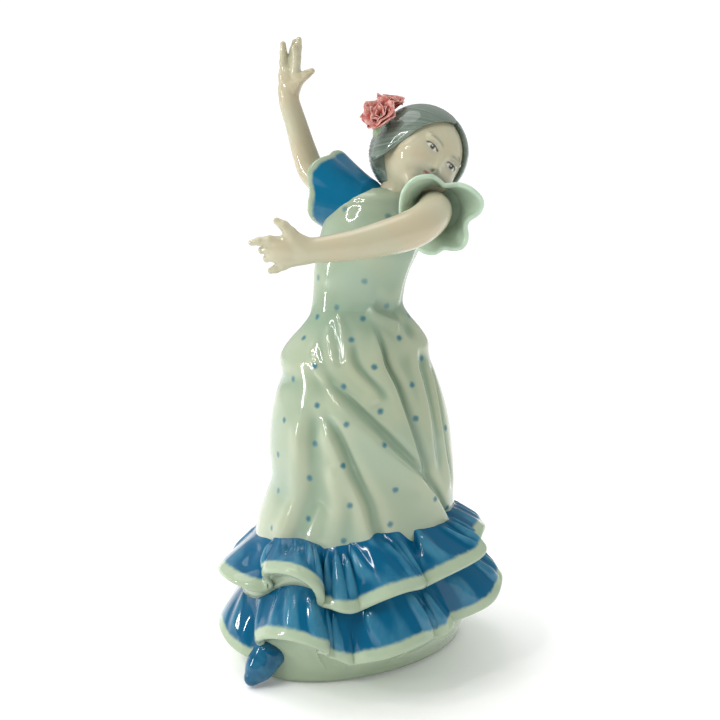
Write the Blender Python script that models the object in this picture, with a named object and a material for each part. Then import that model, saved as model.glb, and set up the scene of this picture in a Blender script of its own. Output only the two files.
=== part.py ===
"""Porcelain figurine of a girl dancing flamenco, in metres, +Z up, standing on z = 0.

The piece is slip-cast and hand-built: a hollow skirt on a flat foot ring, two applied flounces,
a torso, a head with a modelled hair cap, two arms with ruffled sleeves, and a spray of two
carnations rolled petal by petal. Lengths below are in millimetres and are scaled once, by MM.
"""

import math

import bmesh
import bpy
from mathutils import Matrix, Vector

MM = 0.001
GAP = 0.35          # clearance between neighbouring pieces, the thickness of the slip that luted them

# --- Dress body: height, centre x, centre y, half width, half depth, turn of the oval in degrees
BODY_STATIONS = [
    (0.0, 0.0, 3.0, 44.0, 29.0, 30.0),
    (4.0, 0.0, 2.6, 43.5, 30.5, 30.0),
    (12.0, -0.5, 1.0, 41.0, 34.0, 20.0),
    (22.0, -1.0, 0.0, 39.0, 37.0, 0.0),
    (46.0, -1.2, 0.0, 36.8, 35.0, 0.0),
    (54.0, -1.2, 0.0, 35.6, 34.0, 0.0),
    (67.0, 0.6, 0.0, 33.3, 32.0, 0.0),
    (80.0, 0.2, 0.0, 32.8, 30.5, 0.0),
    (97.0, -0.3, 0.0, 29.9, 27.0, 0.0),
    (105.0, -0.6, 0.0, 27.5, 24.5, 0.0),
    (113.0, -1.6, 0.0, 25.7, 21.5, 0.0),
    (118.0, -0.5, 0.0, 24.0, 19.5, 0.0),
    (122.0, 0.1, 0.0, 21.2, 17.0, 0.0),
    (126.0, -0.2, 0.0, 17.8, 14.5, 0.0),
    (129.5, -0.8, 0.3, 16.1, 13.0, 0.0),
    (135.0, -0.3, 0.5, 15.9, 12.3, 0.0),
    (142.0, 0.7, 0.5, 16.6, 12.6, 0.0),
    (148.0, 2.8, 0.5, 17.9, 12.6, 0.0),
    (155.0, 4.6, 0.6, 18.0, 12.0, 0.0),
    (161.0, 7.0, 1.0, 18.0, 10.8, 0.0),
    (164.4, 8.8, 1.2, 16.0, 9.0, 0.0),
    (166.4, 10.0, 1.5, 12.5, 7.5, 0.0),
]
# Draped folds of the skirt: crest height, width in degrees, then (height, direction) down the crest
FOLDS = [
    (1.8, 9.0, [(106, -121), (101, -100), (91, -78), (80, -60), (71, -48), (55, -26)]),
    (1.8, 9.0, [(98, -118), (86, -106), (76, -96), (61, -83), (50, -78)]),
    (1.4, 7.0, [(124, -77), (115, -67), (104, -61), (92, -57), (79, -52), (71, -48)]),
    (1.2, 8.0, [(116, -40), (104, -36), (93, -38), (80, -36)]),
    (1.3, 12.0, [(112, 60), (95, 75), (75, 88), (52, 100)]),
    (1.3, 12.0, [(110, 130), (92, 140), (72, 146), (52, 150)]),
]
FOLD_FADE = 7.0      # a crest rises and dies away over this height at its ends
WAIST_Z = 129.5      # where the torso is luted onto the skirt
FOOT_TOP = 12.0      # where the skirt shell is luted onto the foot ring
SKIRT_WALL = 3.2
FOOT_WALL = 5.0
TORSO_HOLLOW_SHARE = 0.58    # of the torso's own width and depth
SKIRT_HEIGHTS = [FOOT_TOP + GAP, 15, 18.5, 22, 34, 46, 54, 60, 68, 76, 84, 92, 100, 106, 112, 118, 122, 126,
                 WAIST_Z]
FOOT_HEIGHTS = [0.0, 1.0, 4.0, 8.0, FOOT_TOP]
FOOT_BEVEL = 1.0     # the hem is drawn in by this much where it meets the shelf
TORSO_HEIGHTS = [WAIST_Z + GAP, 135, 141, 147, 153, 158, 162, 164.4, 166.4]
TORSO_HOLLOW_HEIGHTS = [152.0, 144.0, 136.0, WAIST_Z + GAP]
SIDES = 48           # facets round the skirt
TORSO_SIDES = 36

# --- Base disc, set up inside the foot ring
BASE_Z = (2.5, 5.5)
BASE_EASE = 0.8      # clearance inside the foot ring
VENT_CENTRE = (0.0, 3.0)
VENT_RADIUS = 4.0

# --- Flounces: the rim as (direction in degrees, distance from the axis, height), anticlockwise
UPPER_RIM = [
    (180, 50.0, 32.5), (-165, 51.0, 36.0), (-152, 50.0, 37.5), (-143, 47.0, 36.5),
    (-136, 42.0, 37.0), (-130, 45.5, 46.0), (-118, 49.0, 50.0), (-109, 47.5, 46.5),
    (-105, 43.0, 38.0), (-99, 45.5, 36.4), (-93, 43.5, 36.0), (-88, 43.5, 38.0),
    (-80, 47.0, 41.5), (-70, 47.0, 43.4), (-61, 43.0, 41.8), (-56, 45.0, 44.0),
    (-46, 48.0, 46.0), (-34, 48.5, 48.5), (-24, 44.0, 47.5), (-12, 47.0, 49.0),
    (4, 49.0, 48.0), (18, 45.0, 43.0), (32, 48.5, 44.0), (50, 49.0, 40.0),
    (64, 45.0, 37.0), (78, 47.5, 40.0), (96, 47.8, 37.0), (112, 45.0, 34.0),
    (126, 49.0, 38.0), (142, 50.0, 36.0), (158, 46.0, 31.0), (170, 48.0, 31.5),
]
LOWER_RIM = [
    (178, 50.5, 11.0), (-166, 51.0, 13.0), (-156, 49.5, 12.0), (-147, 46.0, 11.4),
    (-140, 44.0, 13.5), (-132, 48.0, 24.0), (-118, 50.0, 28.5), (-108, 49.5, 27.0),
    (-103, 45.0, 20.5), (-98, 45.5, 19.2), (-93, 44.5, 18.2), (-87, 46.5, 20.0),
    (-78, 49.0, 23.0), (-68, 49.0, 25.0), (-58, 45.5, 24.5), (-51, 47.5, 26.5),
    (-45, 45.5, 27.0), (-36, 50.0, 29.5), (-24, 52.0, 32.0), (-10, 51.5, 30.0),
    (4, 48.0, 25.0), (18, 51.0, 26.0), (34, 50.5, 22.0), (48, 47.0, 18.0),
    (64, 49.0, 21.0), (82, 48.0, 17.0), (98, 46.0, 15.0), (114, 50.0, 18.0),
    (132, 50.0, 15.0), (150, 47.0, 10.0), (164, 49.0, 10.0),
]
# Heights all round, then the rise towards +X and the rise towards -Y
UPPER_SEAM = (52.5, 3.5, 1.5)
LOWER_SEAM = (26.5, 6.5, 1.5)
TIER_GAP = 0.65      # between the upper flounce's lower edge and the lower flounce's seam
LOWER_EDGE = 12.9    # the lower flounce ends just above the foot ring
RIM_SAMPLES = 72
RIM_HALF = 1.5       # half the thickness of a flounce's rounded rim
LIP_DROP = 0.8       # the seam's rounded top edge
LIP_DEPTH = 1.6
UNDER_DEPTH = 3.0    # depth of the slip behind the flounce, at its lower edge
SEAM_EASE = 0.4      # extra room where a flounce's facets cross the skirt's

# --- Head, in its own axes: +X to the wearer's left, -Y the way it looks, +Z the crown
HEAD_CENTRE = Vector((18.4, 0.0, 181.8))
HEAD_ROLL = 46.0     # the crown leans to +X
HEAD_TURN = 20.0
HEAD_RADII = (13.6, 14.8, 15.6)
HAIR_RADII = (17.0, 18.2, 17.6)
HAIR_CENTRE = (0.0, 0.6, 0.4)
HAIR_LINING = (14.6, 15.8, 16.3)
FACE_OPENING = ((1.5, -17.0, -3.6), (13.2, 13.0, 15.2))       # centre and radii
NAPE_OPENING = ((6.5, -0.5, -18.5), (11.5, 12.0, 13.0))
BUN_CENTRE = (0.0, 21.6, -3.0)
BUN_RADII = (9.0, 6.5, 8.5)
# The neck and the height where the hair ends are in the figurine's own axes
NECK_LINE = [((12.9, 1.6, 170.2), 6.4), ((13.8, 1.6, 172.6), 6.0), ((15.4, 1.2, 176.0), 6.0)]
HAIR_HEM = 168.0
HAIR_HEM_REACH = 29.0

# --- Arms: joints of the centre line with the radius there
RIGHT_ARM = [((-8.5, 7.0, 168.6), 4.6), ((-13.5, 12.0, 172.0), 4.9), ((-17.3, 15.0, 175.5), 4.9),
             ((-19.6, 15.6, 182.0), 4.6), ((-22.2, 15.4, 191.0), 4.1), ((-24.6, 15.0, 199.6), 3.5)]
LEFT_ARM = [((26.4, -12.5, 164.6), 5.6), ((26.0, -20.0, 164.0), 5.8), ((23.2, -29.5, 161.6), 6.0),
            ((14.0, -34.0, 158.2), 5.7), ((0.0, -37.0, 155.0), 4.8), ((-14.2, -38.0, 153.4), 3.9)]

# --- Hands: palm as (centre line joint, half width, half thickness); fingers as tapered rods
RIGHT_PALM = [((-24.8, 15.0, 200.6), 3.5, 2.6), ((-25.0, 15.0, 203.4), 4.0, 2.5),
              ((-23.8, 15.0, 207.0), 4.4, 2.3), ((-23.2, 15.0, 210.2), 4.0, 1.9)]
RIGHT_FINGERS = [
    ((-26.1, 15.2, 208.4), (-26.4, 16.0, 218.6), 1.4, 0.9),
    ((-24.0, 15.0, 208.6), (-22.6, 15.6, 219.6), 1.4, 0.9),
    ((-22.3, 14.6, 208.8), (-21.0, 14.6, 220.0), 1.4, 0.9),
    ((-21.6, 13.8, 205.0), (-16.4, 12.2, 208.6), 1.6, 1.0),
]
LEFT_PALM = [((-15.1, -38.1, 153.4), 3.9, 2.9), ((-18.6, -38.4, 153.6), 4.9, 2.8),
             ((-22.6, -38.6, 153.8), 5.4, 2.5), ((-25.8, -38.6, 154.0), 4.6, 2.0)]
LEFT_FINGERS = [
    ((-24.6, -38.6, 156.4), (-33.0, -38.2, 156.0), 1.5, 1.0),
    ((-25.0, -38.8, 153.6), (-30.4, -37.6, 153.0), 1.5, 1.1),
    ((-24.6, -38.6, 151.6), (-28.8, -37.2, 150.4), 1.5, 1.1),
    ((-22.4, -38.4, 149.8), (-27.2, -37.8, 147.2), 1.4, 1.0),
    ((-20.0, -38.8, 156.6), (-25.4, -38.6, 162.4), 1.7, 1.1),
]

# --- Sleeve ruffles: seam centre and radius, rim centre and radius, count and depth of the waves
RIGHT_SLEEVE = ((-6.6, 5.2, 166.8), 7.6, (-11.6, 9.8, 169.8), 12.5, 5, 1.3)
LEFT_SLEEVE = ((26.5, -10.5, 163.4), 8.4, (27.6, -17.0, 163.2), 13.5, 6, 1.6)
SLEEVE_WALL = 1.6
SLEEVE_SIDES = 40

# --- Shoe toe below the hem, and the two carnations
SHOE_AXIS = [((-36.4, -33.4, 7.6), 4.0), ((-37.0, -34.8, 5.6), 4.5), ((-37.6, -35.8, 3.4), 3.2)]
FLOWER_FRONT = (Vector((4.0, -5.6, 194.6)), Vector((-0.62, -0.42, 0.66)), 1.0, 6, 5)
FLOWER_BACK = (Vector((9.0, 3.4, 200.4)), Vector((-0.30, 0.10, 0.95)), 0.78, 5, 4)
HEART = [(0.1, 0.45), (1.4, 0.7), (2.6, 0.85), (3.3, 0.5)]        # rise along the stem, radius
# Ring of petals: tilt from the stem in degrees, distance from the stem, length, turn in radians
PETAL_RINGS = {"inner": (24.0, 1.75, 3.1, 0.0), "outer": (52.0, 3.1, 3.0, 0.4)}
PETAL_SHARE = 0.86   # of its sector that a petal fills
PETAL_ROOT = 0.62    # a petal's width at its root, as a share of its sector
PETAL_SPREAD = 0.34  # and how much wider it is at its edge
PETAL_FRILL = 0.3
PETAL_DROOP = 0.5
PETAL_THICKNESS = 0.6
PETAL_ROWS = 4
PETAL_COLUMNS = 5
FRONT_CALYX = [(0.6, 2.9), (1.4, 2.6), (2.2, 1.6), (2.7, 0.9)]    # drop below the bloom, radius
BACK_CALYX = [(0.5, 2.3), (1.4, 1.9), (2.2, 0.9)]
LEAF_LINE = [((2.8, -5.6, 189.8), 0.4), ((2.0, -6.4, 188.6), 1.8), ((1.6, -7.0, 186.8), 1.7),
             ((1.8, -7.2, 185.0), 0.4)]
LEAF_THICKNESS = [0.3, 0.5, 0.5, 0.3]

# --- Fired glaze colours (linear), shared by name
GLAZES = {
    "celadon_glaze": (0.42, 0.52, 0.36),
    "blue_glaze": (0.02, 0.17, 0.36),
    "skin_glaze": (0.56, 0.52, 0.38),
    "hair_glaze": (0.10, 0.14, 0.13),
    "petal_bisque": (0.42, 0.12, 0.09),
    "leaf_glaze": (0.20, 0.32, 0.20),
}


def clear_scene():
    for leftover in list(bpy.data.objects):
        bpy.data.objects.remove(leftover)


def material(name):
    """One Principled material for each glaze; the petals are nearly matt, the rest glossy."""
    found = bpy.data.materials.get(name)
    if found:
        return found
    made = bpy.data.materials.new(name)
    made.use_nodes = True
    shader = made.node_tree.nodes["Principled BSDF"]
    shader.inputs["Base Color"].default_value = (*GLAZES[name], 1.0)
    shader.inputs["Roughness"].default_value = 0.6 if name == "petal_bisque" else 0.12
    shader.inputs["Metallic"].default_value = 0.0
    return made


def add_object(name, points, faces, glaze):
    mesh = bpy.data.meshes.new(name)
    mesh.from_pydata([[c * MM for c in p] for p in points], [], faces)
    bm = bmesh.new()
    bm.from_mesh(mesh)
    bmesh.ops.recalc_face_normals(bm, faces=bm.faces)
    bm.to_mesh(mesh)
    bm.free()
    mesh.shade_smooth()
    mesh.set_sharp_from_angle(angle=math.radians(50))
    made = bpy.data.objects.new(name, mesh)
    made.data.materials.append(material(glaze))
    bpy.context.scene.collection.objects.link(made)
    return made


def loft(name, rings, glaze, closed_path=False):
    """Skins equal rings of points in order; the ends are capped unless the path closes on itself."""
    count, sides = len(rings), len(rings[0])
    points = [p for ring in rings for p in ring]
    faces = []
    for i in range(count if closed_path else count - 1):
        a, b = i * sides, ((i + 1) % count) * sides
        for j in range(sides):
            k = (j + 1) % sides
            faces.append((a + j, a + k, b + k, b + j))
    if not closed_path:
        for start in (0, (count - 1) * sides):
            ring = points[start:start + sides]
            centre = [sum(p[c] for p in ring) / sides for c in range(3)]
            points.append(centre)
            hub = len(points) - 1
            faces += [(hub, start + j, start + (j + 1) % sides) for j in range(sides)]
    return add_object(name, points, faces, glaze)


def boolean(target, cutter, operation):
    cutter.hide_render = True
    cutter.display_type = "WIRE"
    modifier = target.modifiers.new(operation.title(), "BOOLEAN")
    modifier.operation = operation
    modifier.object = cutter
    modifier.solver = "EXACT"


def between(stations, z):
    """The row of stations at height z, by straight interpolation."""
    z = min(max(z, stations[0][0]), stations[-1][0])
    for low, high in zip(stations, stations[1:]):
        if z <= high[0]:
            share = (z - low[0]) / (high[0] - low[0])
            return [low[i] + (high[i] - low[i]) * share for i in range(len(low))]
    return list(stations[-1])


def angle_apart(a, b):
    return (a - b + 180.0) % 360.0 - 180.0


def fold_height(direction, z):
    total = 0.0
    for height, width, crest in FOLDS:
        crest = sorted(crest)
        above = z - crest[0][0] + FOLD_FADE
        below = crest[-1][0] + FOLD_FADE - z
        fade = min(1.0, above / FOLD_FADE, below / FOLD_FADE)
        if fade > 0.0:
            off = angle_apart(direction, between(crest, z)[1]) / width
            total += height * fade * math.exp(-off * off)
    return total


def dress_point(direction, z, offset=0.0, folds=True):
    """A point on the dress's outer surface in a direction (degrees) at a height, moved out by offset."""
    _, cx, cy, a, b, turn = between(BODY_STATIONS, z)
    angle = math.radians(direction)
    local = angle - math.radians(turn)
    radius = a * b / math.hypot(b * math.cos(local), a * math.sin(local)) + offset
    if folds:
        radius += fold_height(direction, z)
    return (cx + radius * math.cos(angle), cy + radius * math.sin(angle), z)


def dress_ring(z, offset=0.0, folds=True, sides=SIDES):
    return [dress_point(-180.0 + 360.0 * i / sides, z, offset, folds) for i in range(sides)]


def build_skirt():
    """Hollow from the foot ring to the waist, open at both ends, so the kiln gases could leave."""
    outside = [dress_ring(z) for z in SKIRT_HEIGHTS]
    inside = [dress_ring(z, -SKIRT_WALL, False) for z in reversed(SKIRT_HEIGHTS[::2])]
    loft("skirt_shell", outside + inside, "celadon_glaze", closed_path=True)


def build_foot():
    """The plain underskirt hem: a flat ring that the whole figurine stands on."""
    outside = [dress_ring(z, -FOOT_BEVEL if z == 0.0 else 0.0, False) for z in FOOT_HEIGHTS]
    inside = [dress_ring(z, -FOOT_WALL, False) for z in reversed(FOOT_HEIGHTS[::2])]
    loft("underskirt_foot", outside + inside, "celadon_glaze", closed_path=True)


def build_base_disc():
    """The closing disc, set up inside the ring, with the vent hole every hollow casting needs."""
    def vent(z):
        x, y = VENT_CENTRE
        spots = (math.radians(-180.0 + 360.0 * i / SIDES) for i in range(SIDES))
        return [(x + VENT_RADIUS * math.cos(s), y + VENT_RADIUS * math.sin(s), z) for s in spots]
    low, high = BASE_Z
    inset = -FOOT_WALL - BASE_EASE
    rings = [dress_ring(low, inset, False), dress_ring(high, inset, False), vent(high), vent(low)]
    loft("base_disc", rings, "celadon_glaze", closed_path=True)


def build_torso():
    """Pressed torso with the neckline closed; its hollow opens downwards into the skirt."""
    def hollow(z):
        _, cx, cy, a, b, _turn = between(BODY_STATIONS, z)
        spots = (math.radians(360.0 * i / TORSO_SIDES - 180.0) for i in range(TORSO_SIDES))
        share = TORSO_HOLLOW_SHARE
        return [(cx + a * share * math.cos(s), cy + b * share * math.sin(s), z) for s in spots]
    inner = [hollow(z) for z in TORSO_HOLLOW_HEIGHTS]
    outer = [dress_ring(z, 0.0, False, TORSO_SIDES) for z in TORSO_HEIGHTS]
    loft("torso", inner + outer, "celadon_glaze")


def catmull_rom(points, samples):
    """Evenly numbered points on a smooth closed curve through all the given ones."""
    count = len(points)
    made = []
    for s in range(samples):
        place = s * count / samples
        i, t = int(place), place - int(place)
        p0, p1, p2, p3 = (points[(i + k) % count] for k in (-1, 0, 1, 2))
        made.append([0.5 * (2 * b + (c - a) * t + (2 * a - 5 * b + 4 * c - d) * t * t
                            + (3 * b - a - 3 * c + d) * t ** 3) for a, b, c, d in zip(p0, p1, p2, p3)])
    return made


def seam_height(direction, seam):
    level, left_rise, front_rise = seam
    angle = math.radians(direction)
    return level + left_rise * math.cos(angle) - front_rise * math.sin(angle)


def flounce_seams(direction, tier):
    """Heights at which a flounce is luted to the skirt: its top seam and its lower edge."""
    lower = seam_height(direction, LOWER_SEAM)
    if tier == "upper":
        return seam_height(direction, UPPER_SEAM), lower
    return lower - TIER_GAP, LOWER_EDGE


def build_flounce(name, rim, tier, glaze):
    """A gathered strip round the skirt: seam at the top, waved and rounded rim, hollowed underside."""
    flat = [(r * math.cos(math.radians(d)), r * math.sin(math.radians(d)), z) for d, r, z in rim]
    rings = []
    for x, y, z in catmull_rom(flat, RIM_SAMPLES):
        direction = math.degrees(math.atan2(y, x))
        out = Vector((x, y, 0.0)).normalized()
        half = Vector((0.0, 0.0, RIM_HALF))
        edge = Vector((x, y, z))
        top, bottom = flounce_seams(direction, tier)
        seam = Vector(dress_point(direction, top, GAP + SEAM_EASE))
        lip = Vector(dress_point(direction, top - LIP_DROP, GAP + LIP_DEPTH))
        bulge = lip.lerp(edge, 0.5) + Vector((0.0, 0.0, 1.0)) + out * 0.6
        rim = [edge + half - out * 0.6, edge + out * 0.7, edge - half - out * 0.4]
        under = Vector(dress_point(direction, bottom, GAP + UNDER_DEPTH))
        back = Vector(dress_point(direction, bottom, GAP + SEAM_EASE))
        behind = Vector(dress_point(direction, 0.5 * (top + bottom), GAP + SEAM_EASE))
        rings.append([tuple(p) for p in (seam, lip, bulge, *rim, under, back, behind)])
    loft(name, rings, glaze, closed_path=True)


def head_axes():
    """The head's own axes as a matrix whose translation is its centre."""
    roll = Matrix.Rotation(math.radians(HEAD_ROLL), 4, "Y")
    turn = Matrix.Rotation(math.radians(HEAD_TURN), 4, "Z")
    return Matrix.Translation(HEAD_CENTRE) @ roll @ turn


def ellipsoid(name, axes, centre, radii, glaze, segments=24, rings=14):
    bm = bmesh.new()
    bmesh.ops.create_uvsphere(bm, u_segments=segments, v_segments=rings, radius=1.0)
    shape = Matrix.Translation(centre) @ Matrix.Diagonal((*radii, 1.0))
    bmesh.ops.transform(bm, matrix=axes @ shape, verts=bm.verts)
    points = [tuple(v.co) for v in bm.verts]
    faces = [tuple(v.index for v in f.verts) for f in bm.faces]
    bm.free()
    return add_object(name, points, faces, glaze)


def frame_rings(joints, sides, flatten=None):
    """Round sections square to a centre line; flatten gives a second half axis for each joint."""
    rings = []
    for i, (centre, radius) in enumerate(joints):
        before = Vector(joints[max(i - 1, 0)][0])
        after = Vector(joints[min(i + 1, len(joints) - 1)][0])
        along = (after - before).normalized()
        side = along.cross(Vector((0, 1, 0))).normalized()
        deep = side.cross(along).normalized()
        second = flatten[i] if flatten else radius
        rings.append([tuple(Vector(centre) + side * radius * math.cos(a) + deep * second * math.sin(a))
                      for a in (2 * math.pi * k / sides for k in range(sides))])
    return rings


def build_head():
    """Head and neck in one; the face itself is a plain oval here."""
    axes = head_axes()
    head = ellipsoid("head_and_neck", axes, (0, 0, 0), HEAD_RADII, "skin_glaze")
    neck = loft("neck_tool", frame_rings(NECK_LINE, 16), "skin_glaze")
    boolean(head, neck, "UNION")


def build_hair():
    """Smooth cap parted over the forehead, open for the face and the nape, with a bun behind it."""
    axes = head_axes()
    cap = ellipsoid("hair_cap", axes, HAIR_CENTRE, HAIR_RADII, "hair_glaze", 28, 18)
    lining = ellipsoid("hair_lining_tool", axes, (0, 0, 0), HAIR_LINING, "hair_glaze", 28, 18)
    face = ellipsoid("hair_face_tool", axes, *FACE_OPENING, "hair_glaze")
    nape = ellipsoid("hair_nape_tool", axes, *NAPE_OPENING, "hair_glaze")
    x, reach = HEAD_CENTRE.x, HAIR_HEM_REACH
    corners = [(x - reach, -reach), (x + reach, -reach), (x + reach, reach), (x - reach, reach)]
    levels = (HAIR_HEM - reach, HAIR_HEM)
    hem = loft("hair_hem_tool", [[(*corner, z) for corner in corners] for z in levels], "hair_glaze")
    for tool in (lining, face, nape, hem):
        boolean(cap, tool, "DIFFERENCE")
    bun = ellipsoid("hair_bun", axes, BUN_CENTRE, BUN_RADII, "hair_glaze", 20, 12)
    grown = tuple(r + GAP for r in HAIR_RADII)
    seat = ellipsoid("hair_bun_tool", axes, HAIR_CENTRE, grown, "hair_glaze", 28, 18)
    boolean(bun, seat, "DIFFERENCE")


def build_hand(name, palm, fingers):
    flat = [(centre, width) for centre, width, _thick in palm]
    hand = loft(name, frame_rings(flat, 14, [thick for _c, _w, thick in palm]), "skin_glaze")
    for number, (root, tip, wide, fine) in enumerate(fingers):
        root, tip = Vector(root), Vector(tip)
        joints = [(root, wide), (root.lerp(tip, 0.55), wide * 0.92), (root.lerp(tip, 0.9), fine),
                  (tip, fine * 0.5)]
        rod = loft(f"{name}_finger_tool_{number}", frame_rings(joints, 8), "skin_glaze")
        boolean(hand, rod, "UNION")


def build_sleeve(name, spec, glaze):
    """A ruffle flared round the top of an arm, with a hole for the arm through it."""
    seam_centre, seam_radius, rim_centre, rim_radius, waves, depth = spec
    seam_centre, rim_centre = Vector(seam_centre), Vector(rim_centre)
    along = (rim_centre - seam_centre).normalized()
    side = along.cross(Vector((0, 0, 1))).normalized()
    up = side.cross(along)
    rings = []
    for i in range(SLEEVE_SIDES):
        angle = 2 * math.pi * i / SLEEVE_SIDES
        wave = math.cos(waves * angle)
        out = side * math.cos(angle) + up * math.sin(angle)
        rim = rim_centre + out * (rim_radius + depth * wave) - along * depth * wave
        seam = seam_centre + out * seam_radius
        bend = seam.lerp(rim, 0.55) + out * 0.5 + along * 0.8
        half = 0.6 * SLEEVE_WALL
        section = (seam + along * 0.2, seam - along * 0.2 + out * SLEEVE_WALL, bend + out * half,
                   rim + out * 0.5 * SLEEVE_WALL, rim + along * half, bend - out * half)
        rings.append([tuple(p) for p in section])
    loft(name, rings, glaze, closed_path=True)


def petal(name, bloom, ring, number, start, width):
    """One hand-rolled petal: a thin curved leaf with a frilled edge, filling one sector of its ring."""
    centre, axis, scale, _outer, _inner = bloom
    tilt, inner, length, _turn = PETAL_RINGS[ring]
    tilt = math.radians(tilt)
    axis = axis.normalized()
    side = axis.cross(Vector((0, 1, 0))).normalized()
    up = axis.cross(side)
    front, back = [], []
    for row in range(PETAL_ROWS):
        share = row / (PETAL_ROWS - 1)
        for column in range(PETAL_COLUMNS):
            across = column / (PETAL_COLUMNS - 1)
            angle = start + width * (0.5 + (across - 0.5) * (PETAL_ROOT + PETAL_SPREAD * share))
            frill = PETAL_FRILL * share * math.cos(4 * math.pi * across + number)
            droop = PETAL_DROOP * share * (1 - math.sin(math.pi * across))
            reach = inner + length * share * math.sin(tilt) + frill * math.cos(tilt)
            rise = length * share * math.cos(tilt) - frill * math.sin(tilt) - droop
            out = side * math.cos(angle) + up * math.sin(angle)
            place = centre + (out * reach + axis * rise) * scale
            normal = (axis * math.sin(tilt) - out * math.cos(tilt)) * PETAL_THICKNESS * 0.5
            front.append(place + normal)
            back.append(place - normal)
    half = len(front)
    last_row, last_column = PETAL_ROWS - 1, PETAL_COLUMNS - 1
    faces = []
    for row in range(last_row):
        for column in range(last_column):
            a = row * PETAL_COLUMNS + column
            b = a + PETAL_COLUMNS
            faces.append((a, a + 1, b + 1, b))
            faces.append((half + a, half + b, half + b + 1, half + a + 1))
    border = [(0, column) for column in range(last_column)]
    border += [(row, last_column) for row in range(last_row)]
    border += [(last_row, column) for column in range(last_column, 0, -1)]
    border += [(row, 0) for row in range(last_row, 0, -1)]
    border = [row * PETAL_COLUMNS + column for row, column in border]
    for a, b in zip(border, border[1:] + border[:1]):
        faces.append((a, half + a, half + b, b))
    add_object(name, [tuple(p) for p in front + back], faces, "petal_bisque")


def build_bloom(name, bloom, calyx):
    """A carnation: a rolled heart, two rings of petals round it, and the green cup that holds them."""
    centre, axis, scale, outer_count, inner_count = bloom
    axis = axis.normalized()
    heart = [(centre + axis * rise * scale, radius * scale) for rise, radius in HEART]
    loft(f"{name}_heart", frame_rings(heart, 8), "petal_bisque")
    for ring, count in (("inner", inner_count), ("outer", outer_count)):
        turn = PETAL_RINGS[ring][3]
        sector = 2 * math.pi / count
        for k in range(count):
            petal(f"{name}_{ring}_petal_{k + 1}", bloom, ring, k, sector * k + turn, sector * PETAL_SHARE)
    stem = [(centre - axis * drop, radius) for drop, radius in calyx]
    loft(name.replace("carnation", "calyx"), frame_rings(stem, 12), "leaf_glaze")


def build_flowers():
    build_bloom("front_carnation", FLOWER_FRONT, FRONT_CALYX)
    build_bloom("back_carnation", FLOWER_BACK, BACK_CALYX)
    loft("carnation_leaf", frame_rings(LEAF_LINE, 10, LEAF_THICKNESS), "leaf_glaze")


def main():
    clear_scene()
    build_skirt()
    build_foot()
    build_base_disc()
    build_flounce("upper_flounce", UPPER_RIM, "upper", "blue_glaze")
    build_flounce("lower_flounce", LOWER_RIM, "lower", "blue_glaze")
    build_torso()
    build_head()
    build_hair()
    loft("right_arm", frame_rings(RIGHT_ARM, 14), "skin_glaze")
    loft("left_arm", frame_rings(LEFT_ARM, 14), "skin_glaze")
    build_hand("right_hand", RIGHT_PALM, RIGHT_FINGERS)
    build_hand("left_hand", LEFT_PALM, LEFT_FINGERS)
    build_sleeve("right_sleeve_ruffle", RIGHT_SLEEVE, "blue_glaze")
    build_sleeve("left_sleeve_ruffle", LEFT_SLEEVE, "celadon_glaze")
    loft("shoe_toe", frame_rings(SHOE_AXIS, 14), "blue_glaze")
    build_flowers()


main()
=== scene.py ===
"""Looks of the porcelain dancer: glazed, hand-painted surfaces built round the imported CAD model.

All lengths are in millimetres in the frame's axes (+X to the side the head leans to, -Y the front,
+Z up) and become metres in add_piece. Directions round the figure are degrees from +X; -90 is the
front. Smooth castings are signed-distance fields meshed at fine pitch; the dress and its flounces
are surfaces swept round the figure.
"""

import math

import bpy
import numpy as np
import openvdb
from mathutils import Matrix, Vector


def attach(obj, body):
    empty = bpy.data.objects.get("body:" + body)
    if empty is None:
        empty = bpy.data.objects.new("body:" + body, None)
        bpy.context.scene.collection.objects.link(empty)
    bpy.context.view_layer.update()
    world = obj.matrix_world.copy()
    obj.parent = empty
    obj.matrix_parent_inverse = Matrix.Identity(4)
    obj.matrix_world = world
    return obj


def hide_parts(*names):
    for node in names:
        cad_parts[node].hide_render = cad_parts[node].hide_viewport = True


MM = 0.001


def fine(full):
    return full


# ------------------------------------------------------------------ small maths

def smoothstep(low, high, x):
    t = np.clip((x - low) / (high - low), 0.0, 1.0)
    return t * t * (3.0 - 2.0 * t)


def unit(v):
    v = np.asarray(v, float)
    return v / np.maximum(np.linalg.norm(v, axis=-1, keepdims=True), 1e-12)


def curve_through(knots, at):
    """Smooth interpolation of rows (first column is the parameter) without overshoot at flat runs."""
    knots = np.asarray(knots, float)
    x, y = knots[:, 0], knots[:, 1:]
    step = np.diff(x)[:, None]
    slope = np.diff(y, axis=0) / step
    tangent = np.zeros_like(y)
    tangent[1:-1] = (slope[:-1] * step[1:] + slope[1:] * step[:-1]) / (step[1:] + step[:-1])
    tangent[0], tangent[-1] = slope[0], slope[-1]
    at = np.clip(np.asarray(at, float), x[0], x[-1])
    i = np.clip(np.searchsorted(x, at, side="right") - 1, 0, len(x) - 2)
    h = (x[i + 1] - x[i])[..., None]
    t = ((at - x[i]) / h[..., 0])[..., None]
    return ((2 * t ** 3 - 3 * t ** 2 + 1) * y[i] + (t ** 3 - 2 * t ** 2 + t) * h * tangent[i]
            + (3 * t ** 2 - 2 * t ** 3) * y[i + 1] + (t ** 3 - t ** 2) * h * tangent[i + 1])


def loop_through(points, samples):
    """Closed smooth curve through rows of numbers, sampled evenly from knot to knot."""
    p = np.asarray(points, float)
    place = np.arange(samples) * len(p) / samples
    i = place.astype(int)
    t = (place - i)[:, None]
    a, b, c, d = (p[(i + k) % len(p)] for k in (-1, 0, 1, 2))
    return 0.5 * (2 * b + (c - a) * t + (2 * a - 5 * b + 4 * c - d) * t ** 2
                  + (3 * b - a - 3 * c + d) * t ** 3)


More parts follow.
